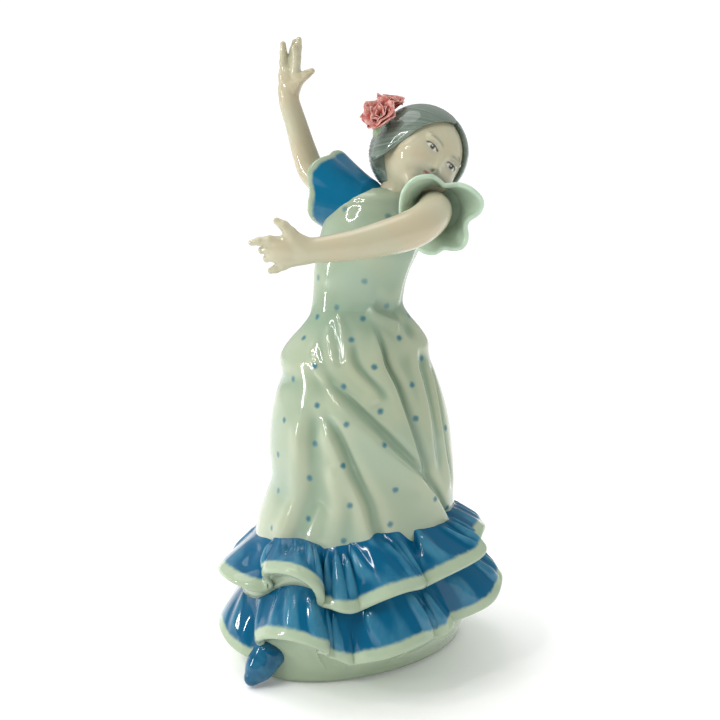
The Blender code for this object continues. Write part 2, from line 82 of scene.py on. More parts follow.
def degrees_apart(a, b):
    return (a - b + 180.0) % 360.0 - 180.0


# ------------------------------------------------------------------ meshes

def add_piece(name, points, faces, material, nodes=(), normals=None, layers=None):
    """A finished piece of the figurine: it rides on the root body and stands for CAD nodes."""
    mesh = bpy.data.meshes.new(name)
    mesh.from_pydata((np.asarray(points) * MM).tolist(), [], [tuple(f) for f in faces])
    mesh.shade_smooth()
    for key, values in (layers or {}).items():
        values = np.asarray(values, np.float32)
        if values.ndim == 2:
            colour = np.concatenate([values, np.ones((len(values), 1), np.float32)], axis=1)
            mesh.attributes.new(key, "FLOAT_COLOR", "POINT").data.foreach_set("color", colour.ravel())
        else:
            mesh.attributes.new(key, "FLOAT", "POINT").data.foreach_set("value", values)
    if normals is not None:
        mesh.normals_split_custom_set_from_vertices(np.asarray(normals, float).tolist())
    piece = bpy.data.objects.new(name, mesh)
    piece.data.materials.append(material)
    bpy.context.scene.collection.objects.link(piece)
    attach(piece, "root")
    if nodes:
        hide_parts(*nodes)
    return piece


def grid_faces(rings, sides, close_rings=False, flip=False):
    """Quads over rings x sides points, closed round the sides and, if asked, over the rings."""
    i = np.arange(rings if close_rings else rings - 1)[:, None]
    j = np.arange(sides)[None, :]
    a, b = i * sides, ((i + 1) % rings) * sides
    k = (j + 1) % sides
    quads = np.stack([a + j, a + k, b + k, b + j], axis=-1).reshape(-1, 4)
    return quads[:, ::-1] if flip else quads


def grid_normals(grid, close_rings=False):
    """Normals of a grid of points that is closed round its second axis, pointing as grid_faces does."""
    along = np.roll(grid, -1, axis=1) - np.roll(grid, 1, axis=1)
    if close_rings:
        across = np.roll(grid, -1, axis=0) - np.roll(grid, 1, axis=0)
    else:
        across = np.gradient(grid, axis=0)
    return unit(np.cross(along, across))


def add_grid(name, grid, normals, layers, glaze, node, close_rings=True, flip=False):
    """A finished piece whose mesh is a grid of rings x sides."""
    faces = grid_faces(*grid.shape[:2], close_rings, flip)
    layers = {key: values.ravel() for key, values in layers.items()}
    return add_piece(name, grid.reshape(-1, 3), faces, glaze, (node,), normals.reshape(-1, 3), layers)


def run_along(grid):
    """Distance along each line of a grid that crosses its rings, from the first ring."""
    steps = np.linalg.norm(np.diff(grid, axis=0), axis=-1)
    return np.concatenate([np.zeros((1, grid.shape[1])), np.cumsum(steps, axis=0)])


def ridge_measure(grid, normals, reach_rings, reach_sides, span, close_rings=False):
    """How much each point stands proud of its surroundings, about -1 in a valley to 1 on a ridge."""
    total = np.zeros(grid.shape[:2])
    pairs = [(0, reach_sides), (0, -reach_sides), (reach_rings, 0), (-reach_rings, 0)]
    for rings, sides in pairs:
        moved = np.roll(grid, sides, axis=1)
        if close_rings:
            moved = np.roll(moved, rings, axis=0)
        elif rings:
            index = np.clip(np.arange(grid.shape[0]) + rings, 0, grid.shape[0] - 1)
            moved = moved[index]
        total += np.einsum("ijk,ijk->ij", grid - moved, normals)
    return np.tanh(total / span)


def soften(grid, times, close_rings=False):
    """Smooths a grid of points or values along both of its directions."""
    for _ in range(times):
        grid = 0.5 * grid + 0.25 * (np.roll(grid, 1, axis=1) + np.roll(grid, -1, axis=1))
        if close_rings:
            grid = 0.5 * grid + 0.25 * (np.roll(grid, 1, axis=0) + np.roll(grid, -1, axis=0))
        else:
            inner = 0.5 * grid[1:-1] + 0.25 * (grid[2:] + grid[:-2])
            grid = np.concatenate([grid[:1], inner, grid[-1:]])
    return grid


# ------------------------------------------------------------------ signed-distance modelling

def ball(p, centre, radius):
    return np.linalg.norm(p - np.asarray(centre), axis=-1) - radius


def oval(p, centre, radii, axes=None):
    """An ellipsoid; axes holds its own directions as rows."""
    q = p - np.asarray(centre)
    if axes is not None:
        q = q @ np.asarray(axes).T
    radii = np.asarray(radii, float)
    near = np.linalg.norm(q / radii, axis=-1)
    far = np.maximum(np.linalg.norm(q / radii ** 2, axis=-1), 1e-9)
    return near * (near - 1.0) / far


def rod(p, start, end, start_radius, end_radius):
    a, b = np.asarray(start, float), np.asarray(end, float)
    share = np.clip((p - a) @ (b - a) / ((b - a) @ (b - a)), 0.0, 1.0)
    return (np.linalg.norm(p - a - share[..., None] * (b - a), axis=-1)
            - (start_radius + (end_radius - start_radius) * share))


def join(a, b, soft):
    """Union whose crease is filleted over a width of soft."""
    h = np.clip(0.5 + 0.5 * (b - a) / soft, 0.0, 1.0)
    return b + (a - b) * h - soft * h * (1.0 - h)


def cut(a, b, soft):
    """Takes b away from a, with the edge rounded over a width of soft."""
    return -join(-a, b, soft)


def chain(p, joints, soft):
    """Rods through (point, radius) joints, rounded between them over a width of soft."""
    total = None
    for (a, ra), (b, rb) in zip(joints, joints[1:]):
        part = rod(p, a, b, ra, rb)
        total = part if total is None else join(total, part, soft)
    return total


def smooth_limb(p, joints):
    """A limb that follows a smooth curve through its (point, radius) joints."""
    rows = [(k, *point, radius) for k, (point, radius) in enumerate(joints)]
    along = curve_through(rows, np.linspace(0, len(joints) - 1, 5 * len(joints)))
    return chain(p, [(row[:3], row[3]) for row in along], 0.3)


def slope_of(field, points, reach=0.04):
    """Distance and outward direction of a field at some points."""
    steps = np.array([[1, -1, -1], [-1, -1, 1], [-1, 1, -1], [1, 1, 1]], float)
    values = [field(points + s * reach) for s in steps]
    gradient = sum(v[:, None] * s for v, s in zip(values, steps)) / (4 * reach)
    return sum(values) / 4, gradient


def mesh_of(field, low, high, pitch):
    """Quads on the field's zero surface, with every point settled onto it, and exact normals."""
    pitch = pitch * fine(1.0)
    low = np.asarray(low, float)
    counts = np.ceil((np.asarray(high, float) - low) / pitch).astype(int) + 1
    axes = [low[k] + pitch * np.arange(counts[k]) for k in range(3)]
    values = np.empty(counts, np.float32)
    plane = np.stack(np.meshgrid(axes[1], axes[2], indexing="ij"), axis=-1).reshape(-1, 2)
    for i, x in enumerate(axes[0]):
        p = np.concatenate([np.full((len(plane), 1), x), plane], axis=1)
        values[i] = field(p).reshape(counts[1], counts[2])
    grid = openvdb.FloatGrid(4.0 * pitch)
    grid.copyFromArray(values)
    points, quads = grid.convertToQuads(isovalue=0.0)
    points = low + np.asarray(points, float) * pitch
    quads = np.asarray(quads, np.int64)
    for _ in range(3):
        distance, gradient = slope_of(field, points)
        size = np.maximum(np.einsum("ij,ij->i", gradient, gradient), 0.05)
        points -= gradient * np.clip(distance / size, -pitch, pitch)[:, None]
    normals = unit(slope_of(field, points)[1])
    corners = points[quads[:, :3]]
    facing = np.cross(corners[:, 1] - corners[:, 0], corners[:, 2] - corners[:, 0])
    if np.einsum("ij,ij->i", facing, normals[quads[:, 0]]).sum() < 0:
        quads = quads[:, ::-1]
    return points, quads, normals


def part_of(points, quads, normals, keep, inward):
    """The kept faces, with the opening this leaves closed by a fan that dips inward."""
    faces = quads[keep]
    used = np.unique(faces)
    place = np.full(len(points), -1)
    place[used] = np.arange(len(used))
    faces = place[faces]
    points, normals = points[used], normals[used]
    sides = np.concatenate([faces[:, [k, (k + 1) % 4]] for k in range(4)])
    pairs = {tuple(side) for side in sides.tolist()}
    open_sides = [side for side in pairs if side[::-1] not in pairs]
    faces = [tuple(face) for face in faces.tolist()]
    rim = np.unique(open_sides)
    hub = len(points)
    points = np.concatenate([points, points[rim].mean(axis=0, keepdims=True) + inward])
    normals = np.concatenate([normals, unit(normals[rim].mean(axis=0, keepdims=True))])
    return points, faces + [(b, a, hub) for a, b in open_sides], normals


# ------------------------------------------------------------------ materials

class Nodes:
    """Shorthand for making the nodes of one tree."""

    def __init__(self, tree):
        self.tree = tree

    def node(self, kind, **values):
        made = self.tree.nodes.new(kind)
        for key, value in values.items():
            setattr(made, key, value)
        return made

    def link(self, output, socket):
        if isinstance(output, bpy.types.NodeSocket):
            self.tree.links.new(output, socket)
        else:
            socket.default_value = output

    def ramp(self, value, low, high, to_low=0.0, to_high=1.0):
        """Smooth step of a value, which may run downwards, onto another range."""
        made = self.node("ShaderNodeMapRange", interpolation_type="SMOOTHSTEP")
        for socket, v in zip(("From Min", "From Max", "To Min", "To Max"), (low, high, to_low, to_high)):
            made.inputs[socket].default_value = v
        self.link(value, made.inputs["Value"])
        return made.outputs["Result"]

    def sums(self, operation, a, b):
        made = self.node("ShaderNodeMath", operation=operation)
        self.link(a, made.inputs[0])
        self.link(b, made.inputs[1])
        return made.outputs["Value"]


class Shading(Nodes):
    """Builds one Principled material; every colour and value below comes from its own nodes."""

    def __init__(self, name):
        self.material = bpy.data.materials.new(name)
        self.material.use_nodes = True
        super().__init__(self.material.node_tree)
        self.shader = self.tree.nodes["Principled BSDF"]

    def layer(self, name, colour=False):
        made = self.node("ShaderNodeAttribute", attribute_type="GEOMETRY", attribute_name=name)
        return made.outputs["Color" if colour else "Fac"]

    def noise(self, size, detail=2.0, stretch=(1, 1, 1)):
        """Noise from 0 to 1 with features of about size millimetres."""
        mapping = self.node("ShaderNodeMapping")
        mapping.inputs["Scale"].default_value = stretch
        self.link(self.node("ShaderNodeTexCoord").outputs["Object"], mapping.inputs["Vector"])
        made = self.node("ShaderNodeTexNoise")
        made.inputs["Scale"].default_value = 1.0 / (size * MM)
        made.inputs["Detail"].default_value = detail
        self.link(mapping.outputs["Vector"], made.inputs["Vector"])
        return made.outputs["Fac"]

    def wobble(self, size, amount, detail=2.0, stretch=(1, 1, 1)):
        """Noise either side of zero, amount from its lowest to its highest."""
        return self.sums("MULTIPLY", self.sums("SUBTRACT", self.noise(size, detail, stretch), 0.5), amount)

    def patches(self, size, low, high, most=1.0, detail=2.0):
        """Cover of soft-edged patches, where the noise is over low to high; most is the heaviest."""
        return self.ramp(self.noise(size, detail), low, high, 0.0, most)

    def gloss(self, size, low, high, detail=3.0):
        """A roughness that wanders between two values over patches of about size millimetres."""
        return self.ramp(self.noise(size, detail), 0.3, 0.7, low, high)

    def mix(self, share, a, b):
        made = self.node("ShaderNodeMix", data_type="RGBA")
        self.link(share, made.inputs["Factor"])
        for value, socket in ((a, made.inputs["A"]), (b, made.inputs["B"])):
            self.link(value if isinstance(value, bpy.types.NodeSocket) else (*value, 1.0), socket)
        return made.outputs["Result"]

    def finish(self, colour, roughness, coat, bump=(), relief=0.0, subsurface=0.0):
        """Sets the colour and gloss, and a bump of relief millimetres made of the given heights."""
        self.link(colour, self.shader.inputs["Base Color"])
        self.link(roughness, self.shader.inputs["Roughness"])
        self.shader.inputs["IOR"].default_value = 1.5
        self.shader.inputs["Specular IOR Level"].default_value = 0.12
        self.shader.inputs["Coat Weight"].default_value = coat
        self.shader.inputs["Coat Roughness"].default_value = 0.03
        if subsurface:
            self.shader.inputs["Subsurface Weight"].default_value = subsurface
            self.shader.inputs["Subsurface Radius"].default_value = (1.0, 0.9, 0.7)
            self.shader.inputs["Subsurface Scale"].default_value = 1.2 * MM
        if relief:
            made = self.node("ShaderNodeBump")
            made.inputs["Strength"].default_value = 1.0
            made.inputs["Distance"].default_value = relief * MM
            self.link(bump, made.inputs["Height"])
            self.link(made.outputs["Normal"], self.shader.inputs["Normal"])
        return self.material


CELADON = (0.385, 0.425, 0.295)
# deeper green: painted shade in fold valleys and hollows, and small specks in the glaze
CELADON_SHADE_AND_SPECK = (0.205, 0.285, 0.190)
CELADON_COOL = (0.278, 0.375, 0.283)
SPOT_BLUE = (0.035, 0.150, 0.195)
BLUE_DEEP = (0.0003, 0.086, 0.178)
BLUE_THIN = (0.055, 0.215, 0.315)
RIM_GREEN = (0.345, 0.425, 0.295)
HEM_GREEN = (0.295, 0.370, 0.245)
SLEEVE_BLUE = (0.002, 0.130, 0.250)
# lighter green: painted light in the shaded inside of the left sleeve
SLEEVE_GREEN_PAINTED_LIGHT = (0.470, 0.610, 0.470)
SHOE_DEEP = (0.0005, 0.075, 0.160)
SHOE_BLUE = (0.020, 0.130, 0.225)
SKIN = (0.445, 0.430, 0.305)
SKIN_WARM = (0.470, 0.415, 0.285)
HAIR = (0.215, 0.262, 0.212)
HAIR_DARK = (0.080, 0.112, 0.094)
HAIRLINE = (0.260, 0.330, 0.270)
PETAL_RED = (0.380, 0.068, 0.055)
PETAL_PALE = (0.640, 0.400, 0.350)
LEAF = (0.230, 0.340, 0.215)
LEAF_PALE = (0.400, 0.480, 0.330)
BISQUE = (0.620, 0.590, 0.500)
BISQUE_GREY = (0.500, 0.470, 0.390)


def dress_material(name, cool, ink):
    """Pale green glaze with painted shade in its fold valleys, cooler in patches, spots painted ink strong.
    """
    s = Shading(name)
    # painted shade: the colour darkens towards the deeper green in the fold valleys
    colour = s.mix(s.ramp(s.layer("ridge"), -0.9, 0.7), CELADON_SHADE_AND_SPECK, CELADON)
    colour = s.mix(s.ramp(s.noise(26), 0.42, 0.68, cool, cool + 0.5), colour, CELADON_COOL)
    reach = s.sums("ADD", s.layer("spot"), s.wobble(1.1, 0.7))
    colour = s.mix(s.ramp(reach, 1.55, 0.40, 0.0, ink), colour, SPOT_BLUE)
    colour = s.mix(s.patches(0.5, 0.72, 0.80, 0.10), colour, CELADON_SHADE_AND_SPECK)
    return s.finish(colour, s.gloss(9, 0.10, 0.18), 0.7, s.noise(7, 0.0), 0.04, 0.12)


def hem_material():
    s = Shading("hem_glaze")
    # painted shade: darker green where the hem's surface is hollow
    colour = s.mix(s.ramp(s.layer("ridge"), 0.3, -0.9, 0.0, 0.7), HEM_GREEN, CELADON_SHADE_AND_SPECK)
    colour = s.mix(s.patches(18, 0.4, 0.7, 0.4), colour, CELADON_COOL)
    return s.finish(colour, s.gloss(9, 0.10, 0.2), 0.7, s.noise(7, 0.0), 0.04, 0.12)


def flounce_material(name, deep=BLUE_DEEP, rim_green=RIM_GREEN):
    """Blue glaze, thin and pale on the ridges and dark in the hollows, with a pale green rim."""
    s = Shading(name)
    streak = s.wobble(4.5, 0.8, 3.0, (1, 1, 0.35))
    blue = s.mix(s.ramp(s.sums("ADD", s.layer("ridge"), streak), 0.0, 1.15), deep, BLUE_THIN)
    blue = s.mix(s.patches(2.2, 0.60, 0.78, 0.25, 3.0), blue, deep)
    green = s.mix(s.patches(7, 0.4, 0.7, 0.35), rim_green, CELADON_COOL)
    ragged = s.sums("ADD", s.layer("rim"), s.wobble(2.4, 0.5, 3.0))
    colour = s.mix(s.ramp(ragged, 0.12, 0.80), blue, green)
    return s.finish(colour, s.gloss(7, 0.08, 0.16), 0.45, s.noise(5, 0.0), 0.04, 0.03)


def skin_material(name, painted=False):
    s = Shading(name)
    colour = s.mix(s.patches(14, 0.35, 0.7), SKIN, SKIN_WARM)
    if painted:
        colour = s.mix(s.layer("painted"), colour, s.layer("paint", colour=True))
    colour = s.mix(s.patches(0.6, 0.72, 0.8, 0.08), colour, CELADON_SHADE_AND_SPECK)
    return s.finish(colour, s.gloss(8, 0.12, 0.2), 0.6, s.noise(7, 0.0), 0.03, 0.15)


def hair_material():
    """Slate glaze brushed on along the strands."""
    s = Shading("hair_glaze")
    strand = s.node("ShaderNodeTexNoise", noise_dimensions="1D")
    strand.inputs["Scale"].default_value = 0.55
    strand.inputs["Detail"].default_value = 2.0
    strand.inputs["Roughness"].default_value = 0.65
    s.link(s.layer("strand"), strand.inputs["W"])
    streak = s.sums("ADD", s.sums("MULTIPLY", strand.outputs["Fac"], 0.7),
                    s.sums("MULTIPLY", s.noise(8), 0.3))
    colour = s.mix(s.ramp(streak, 0.22, 0.88), HAIR_DARK, HAIR)
    colour = s.mix(s.ramp(s.layer("hairline"), 0.0, 1.0, 0.45, 0.0), colour, HAIRLINE)
    return s.finish(colour, s.ramp(streak, 0.3, 0.7, 0.10, 0.2), 0.6, streak, 0.05)


def petal_material():
    """Thin petals, red in the throat and washed to pale pink along the frilled edge."""
    s = Shading("petal_bisque")
    edge = s.sums("ADD", s.layer("edge"), s.wobble(1.3, 0.9, 3.0))
    colour = s.mix(s.ramp(edge, 0.55, 1.25), PETAL_RED, PETAL_PALE)
    colour = s.mix(s.patches(0.5, 0.6, 0.75, 0.25), colour, PETAL_PALE)
    return s.finish(colour, 0.5, 0.15, s.noise(0.35, 3.0), 0.08, 0.2)


def leaf_material():
    s = Shading("leaf_glaze")
    colour = s.mix(s.patches(1.6, 0.35, 0.65, detail=3.0), LEAF, LEAF_PALE)
    return s.finish(colour, 0.35, 0.3, s.noise(0.6), 0.06)


def shoe_material():
    s = Shading("shoe_glaze")
    colour = s.mix(s.patches(6, 0.35, 0.7, detail=3.0), SHOE_DEEP, SHOE_BLUE)
    return s.finish(colour, s.gloss(5, 0.08, 0.15, 2.0), 0.5, s.noise(5, 0.0), 0.04)


def bisque_material():
    """Unglazed, slightly gritty porcelain of the base disc."""
    s = Shading("bisque")
    colour = s.mix(s.patches(3, 0.35, 0.7, detail=4.0), BISQUE, BISQUE_GREY)
    return s.finish(colour, s.gloss(1.0, 0.55, 0.8), 0.0, s.noise(0.6, 3.0), 0.1)


# ------------------------------------------------------------------ the dress

# The body's oval sections: height, centre x, centre y, half width, half depth, turn
BODY = [
    (0.0, -1.6, 4.2, 43.0, 26.6, 29.0), (4.0, -1.5, 3.6, 42.6, 28.2, 28.0),
    (12.0, -1.4, 1.4, 40.4, 33.0, 20.0), (22.0, -1.0, 0.0, 39.0, 37.0, 8.0),
    (34.0, -1.2, 0.0, 38.0, 36.2, 0.0), (46.0, -1.4, 0.0, 36.7, 35.0, 0.0),
    (54.0, -1.2, 0.0, 35.5, 34.0, 0.0), (61.0, -0.2, 0.0, 34.2, 33.0, 0.0),
    (67.0, 0.8, 0.0, 33.2, 32.2, 0.0), (80.0, 0.2, 0.0, 32.8, 30.5, 0.0),
    (87.0, 0.0, 0.0, 32.1, 29.2, 0.0), (97.6, -0.3, 0.0, 29.9, 26.8, 0.0),
    (105.3, -0.6, 0.0, 27.5, 24.2, 0.0), (113.6, -1.6, 0.0, 25.4, 21.2, 0.0),
    (117.4, -0.7, 0.0, 23.9, 19.4, 0.0), (122.2, 0.0, 0.0, 20.6, 16.8, 0.0),
    (125.8, -0.2, 0.1, 17.8, 14.6, 0.0), (129.5, -0.8, 0.3, 16.1, 13.0, 0.0),
    (134.9, -0.4, 0.5, 15.9, 12.3, 0.0), (141.9, 0.7, 0.5, 16.6, 12.6, 0.0),
    (147.5, 2.4, 0.5, 17.4, 12.6, 0.0), (155.0, 4.8, 0.6, 18.2, 12.2, 0.0),
    (161.0, 7.0, 1.0, 18.4, 11.2, 0.0), (165.4, 8.4, 1.2, 17.0, 9.6, 0.0),
    (168.4, 9.0, 1.4, 13.8, 7.6, 0.0), (170.0, 9.2, 1.5, 8.0, 4.4, 0.0),
]
# Draped folds: height of the crest, width of its gentle side, width of its steep side, depth of the
# valley beside the steep side, then (height, direction) along the crest
FOLDS = [
    (2.3, 8.5, 1.4, 1.6,
     [(107, -122), (101, -104), (95, -89), (88, -75), (79, -60), (70, -47), (55, -27), (46, -16)]),
    (1.9, 5.5, 1.5, 1.1, [(97, -119), (90, -109), (81, -101), (68, -91.5), (55, -82), (44, -76)]),
    (1.9, 5.5, 1.3, 1.8,
     [(125, -78), (118, -70), (110, -64), (100, -60), (90, -56), (80, -52), (71, -47)]),
    (0.8, 3.2, 1.2, 0.7, [(118, -103), (113, -94), (106, -81), (101, -74)]),
    (1.5, 2.8, 1.4, 1.2, [(131, -74), (128.5, -63), (126.5, -50), (124.5, -36)]),
    (0.45, 1.6, 1.3, 0.2, [(125, -134), (118, -118), (111, -104)]),
    (0.45, 1.5, 1.3, 0.2, [(120, -143), (113, -127), (106, -112)]),
    (0.35, 1.5, 1.3, 0.2, [(129, -122), (122, -110), (115, -98)]),
    (1.1, 3.0, 2.0, 0.6, [(120, -28), (110, -35), (98, -38), (86, -40), (74, -40)]),
    (1.2, 2.6, 1.6, 0.9, [(112, -14), (104, -22), (92, -27), (78, -27), (64, -22)]),
    (1.5, 5.0, 3.5, 1.1, [(100, -134), (88, -132), (74, -132), (60, -135), (48, -139)]),
    (1.0, 3.0, 3.0, 0.4, [(82, -108), (72, -106), (60, -104), (46, -103)]),
    (0.8, 3.0, 2.0, 0.5, [(153, -30), (145, -26), (137, -25), (130, -28)]),
    (1.8, 7.0, 2.5, 1.2, [(116, 150), (106, 132), (94, 116), (80, 102), (66, 92), (48, 84)]),
    (1.6, 6.0, 2.5, 1.0, [(100, 165), (88, 154), (74, 146), (60, 140), (46, 137)]),
    (1.5, 6.0, 3.0, 1.0, [(118, 40), (106, 46), (92, 54), (76, 60), (60, 62), (46, 62)]),
    (1.2, 5.0, 3.0, 0.8, [(108, 14), (94, 22), (78, 28), (62, 30), (46, 30)]),
    (1.0, 3.5, 2.5, 0.6, [(123, 110), (116, 98), (108, 84), (98, 74)]),
]
# Local swellings and hollows: height, direction, how far out, size up the body and round it
DENTS = [
    (122.0, -27.0, -1.6, 2.6, 3.2), (116.5, -6.0, 0.7, 4.5, 9.0), (112.0, -172.0, 0.6, 6.0, 10.0),
    (105.0, -170.0, -0.7, 4.0, 9.0), (123.0, 155.0, -0.8, 4.0, 6.0), (150.0, -70.0, 1.2, 8.0, 12.0),
    (127.0, -100.0, -0.5, 6.0, 9.0),
]
DRESS_FOOT = 40.0        # the skirt casting starts here, under the upper flounce
WAIST_Z = 129.5
SHOULDER_Z = 160.0       # above this the rings of the dress are closer
LINING_DEPTH = 3.2
SPOT_COLUMNS = 14        # columns of spots round the skirt
SPOT_PITCH = 13.0        # from one spot to the next down a column
SPOT_TOP = 119.5
BODICE_SPOTS = 5         # spots in each ring round the bodice
BODICE_RINGS = (126.0, 132.0, 140.5, 151.0, 162.5)
FAR = 99.0               # distance to the nearest spot on surfaces that have none


def body_at(z):
    """Centre x, centre y, half width, half depth and turn of the body's oval at some heights."""
    return np.moveaxis(curve_through(BODY, z), -1, 0)


def plain_radius(direction, z):
    _x, _y, wide, deep, turn = body_at(z)
    angle = np.radians(direction - turn)
    return wide * deep / np.hypot(deep * np.cos(angle), wide * np.sin(angle))


def upright(direction, radius, z, cx=0.0, cy=0.0):
    """Points at some directions and distances from an upright axis."""
    angle = np.radians(direction)
    return np.stack([cx + radius * np.cos(angle), cy + radius * np.sin(angle), z + 0 * radius], axis=-1)


def crest_offset(direction, z, height, gentle, steep, valley, crest):
    """Relief of one fold, from the distance to its crest on the unrolled dress."""
    crest = np.asarray(crest, float)
    down = np.linspace(0, len(crest) - 1, 8 * len(crest))
    line = curve_through(np.column_stack([np.arange(len(crest)), crest]), down)
    radius = float(plain_radius(line[:, 1].mean(), line[:, 0].mean()))
    line = np.column_stack([np.radians(line[:, 1]) * radius, line[:, 0]])
    middle = crest[:, 1].mean()
    here = np.stack([np.radians(middle + degrees_apart(direction, middle)) * radius, z], axis=-1)
    near = np.full(z.shape, 1e9)
    side, along = np.zeros(z.shape), np.zeros(z.shape)
    for k in range(len(line) - 1):
        a, b = line[k], line[k + 1]
        run = b - a
        share = np.clip(((here - a) @ run) / (run @ run), 0.0, 1.0)
        gap = here - a - share[..., None] * run
        distance = np.hypot(gap[..., 0], gap[..., 1])
        closer = distance < near
        near = np.where(closer, distance, near)
        turn = run[0] * gap[..., 1] - run[1] * gap[..., 0]
        side = np.where(closer, np.sign(turn), side)
        along = np.where(closer, (k + share) / (len(line) - 1), along)
    signed = near * side
    crown = np.where(signed < 0, np.exp(-(signed / gentle) ** 2), np.exp(-(signed / steep) ** 2))
    hollow = valley * np.exp(-((signed - 1.9 * steep) / (1.2 * steep)) ** 2)
    ends = smoothstep(0.0, 0.22, along) * smoothstep(1.0, 0.84, along)
    return ends * (height * crown - hollow)


def folded_radius(direction, z):
    radius = plain_radius(direction, z)
    for fold in FOLDS:
        radius = radius + crest_offset(direction, z, *fold)
    for height, where, out, up, across in DENTS:
        off = np.radians(degrees_apart(direction, where)) * radius / across
        radius = radius + out * np.exp(-off ** 2 - ((z - height) / up) ** 2)
    return radius


def on_body(direction, z, offset=0.0, radius_of=plain_radius):
    """Points on the body's surface, or offset out from it."""
    return upright(direction, radius_of(direction, z) + offset, z, *body_at(z)[:2])


def round_the_body(heights, sides, offset=0.0, radius_of=folded_radius):
    """Rings x sides of points on the body's surface."""
    direction = np.linspace(-180.0, 180.0, sides, endpoint=False)[None, :] + 0 * heights[:, None]
    return on_body(direction, heights[:, None] + 0 * direction, offset, radius_of)


def spot_distance(points):
    """Distance in millimetres to the nearest painted spot: staggered columns."""
    painter = np.random.default_rng(7)
    centres = []
    for column in range(SPOT_COLUMNS):
        where = -47.0 + 360.0 / SPOT_COLUMNS * column
        for row in range(6):
            z = SPOT_TOP - SPOT_PITCH * row - (0.5 * SPOT_PITCH if column % 2 else 0.0)
            jitter = painter.uniform(-1.0, 1.0, 2)
            centres.append((where + 3.5 * jitter[0], z + 1.6 * jitter[1]))
    for row, z in enumerate(BODICE_RINGS):
        for column in range(BODICE_SPOTS):
            jitter = painter.uniform(-1.0, 1.0, 2)
            where = -82.0 + 360.0 / BODICE_SPOTS * (column + 0.5 * (row % 2))
            centres.append((where + 5.0 * jitter[0], z + 1.4 * jitter[1]))
    nearest = np.full(points.shape[:2], FAR)
    for spot in on_body(*np.array(centres).T, radius_of=folded_radius):
        nearest = np.minimum(nearest, np.linalg.norm(points - spot, axis=-1))
    return nearest


def build_dress(skirt_glaze, bodice_glaze):
    """Skirt and torso: one flowing surface, parted at the waist where the two castings are luted."""
    sides = fine(640)
    heights = np.concatenate([np.arange(DRESS_FOOT, SHOULDER_Z, fine(0.45)),
                              np.linspace(SHOULDER_Z, BODY[-1][0], fine(60))])
    waist = int(np.argmin(abs(heights - WAIST_Z)))
    grid = round_the_body(heights, sides)
    normals = grid_normals(grid)
    # the ridge layer also sets the painted shade in the fold valleys
    reach = fine(10)
    ridge = soften(ridge_measure(grid, normals, reach, reach, 1.6), fine(12))
    spot = spot_distance(grid)

    lining = round_the_body(heights[:waist + 1:12], sides, -LINING_DEPTH, plain_radius)[::-1]
    blank = np.zeros(lining.shape[:2])
    skirt = slice(0, waist + 1)
    layers = {"ridge": np.concatenate([ridge[skirt], blank]),
              "spot": np.concatenate([spot[skirt], blank + FAR])}
    outward = np.concatenate([normals[skirt], grid_normals(lining)])
    add_grid("skirt", np.concatenate([grid[skirt], lining]), outward, layers, skirt_glaze,
             "skirt_shell")

    bodice = slice(waist, None)
    count = len(heights) - waist
    ends = grid[[waist, -1]].mean(axis=1)
    points = np.concatenate([grid[bodice].reshape(-1, 3), ends])
    outward = np.concatenate([normals[bodice].reshape(-1, 3), [[0, 0, -1], [0, 0, 1]]])
    layers = {"ridge": np.append(ridge[bodice], [0, 0]), "spot": np.append(spot[bodice], [FAR, FAR])}
    faces = grid_faces(count, sides).tolist()
    bottom, top = count * sides, count * sides + 1
    for j in range(sides):
        k = (j + 1) % sides
        faces.append((k, j, bottom))
        faces.append((bottom - sides + j, bottom - sides + k, top))
    add_piece("bodice", points, faces, bodice_glaze, ("torso",), outward, layers)


HEM_TOP = 26.0           # the hem's wall ends here, hidden by the lower flounce
HEM_ROLL = 2.0           # radius of the rounded edge at its foot
HEM_DEPTH = 5.0          # how far in its back is


def build_hem(glaze):
    """The plain underskirt below the flounces, rolled under to the flat ring that it stands on."""
    profile = [(0.0, -HEM_DEPTH), (0.0, -3.5)]
    profile += [(HEM_ROLL * (1 - math.cos(a)), HEM_ROLL * (math.sin(a) - 1))
                for a in np.linspace(0, math.pi / 2, 9)]
    profile += [(z, 0.0) for z in np.linspace(HEM_ROLL, HEM_TOP, 40)[1:]]
    profile += [(HEM_TOP, -HEM_DEPTH), (12.0, -HEM_DEPTH)]
    heights, offset = np.array(profile).T
    grid = round_the_body(heights, fine(480), offset[:, None], plain_radius)
    normals = grid_normals(grid, True)
    ridge = ridge_measure(grid, normals, 3, 6, 3.0, True)
    add_grid("hem", grid, normals, {"ridge": ridge}, glaze, "underskirt_foot")


# ------------------------------------------------------------------ the flounces

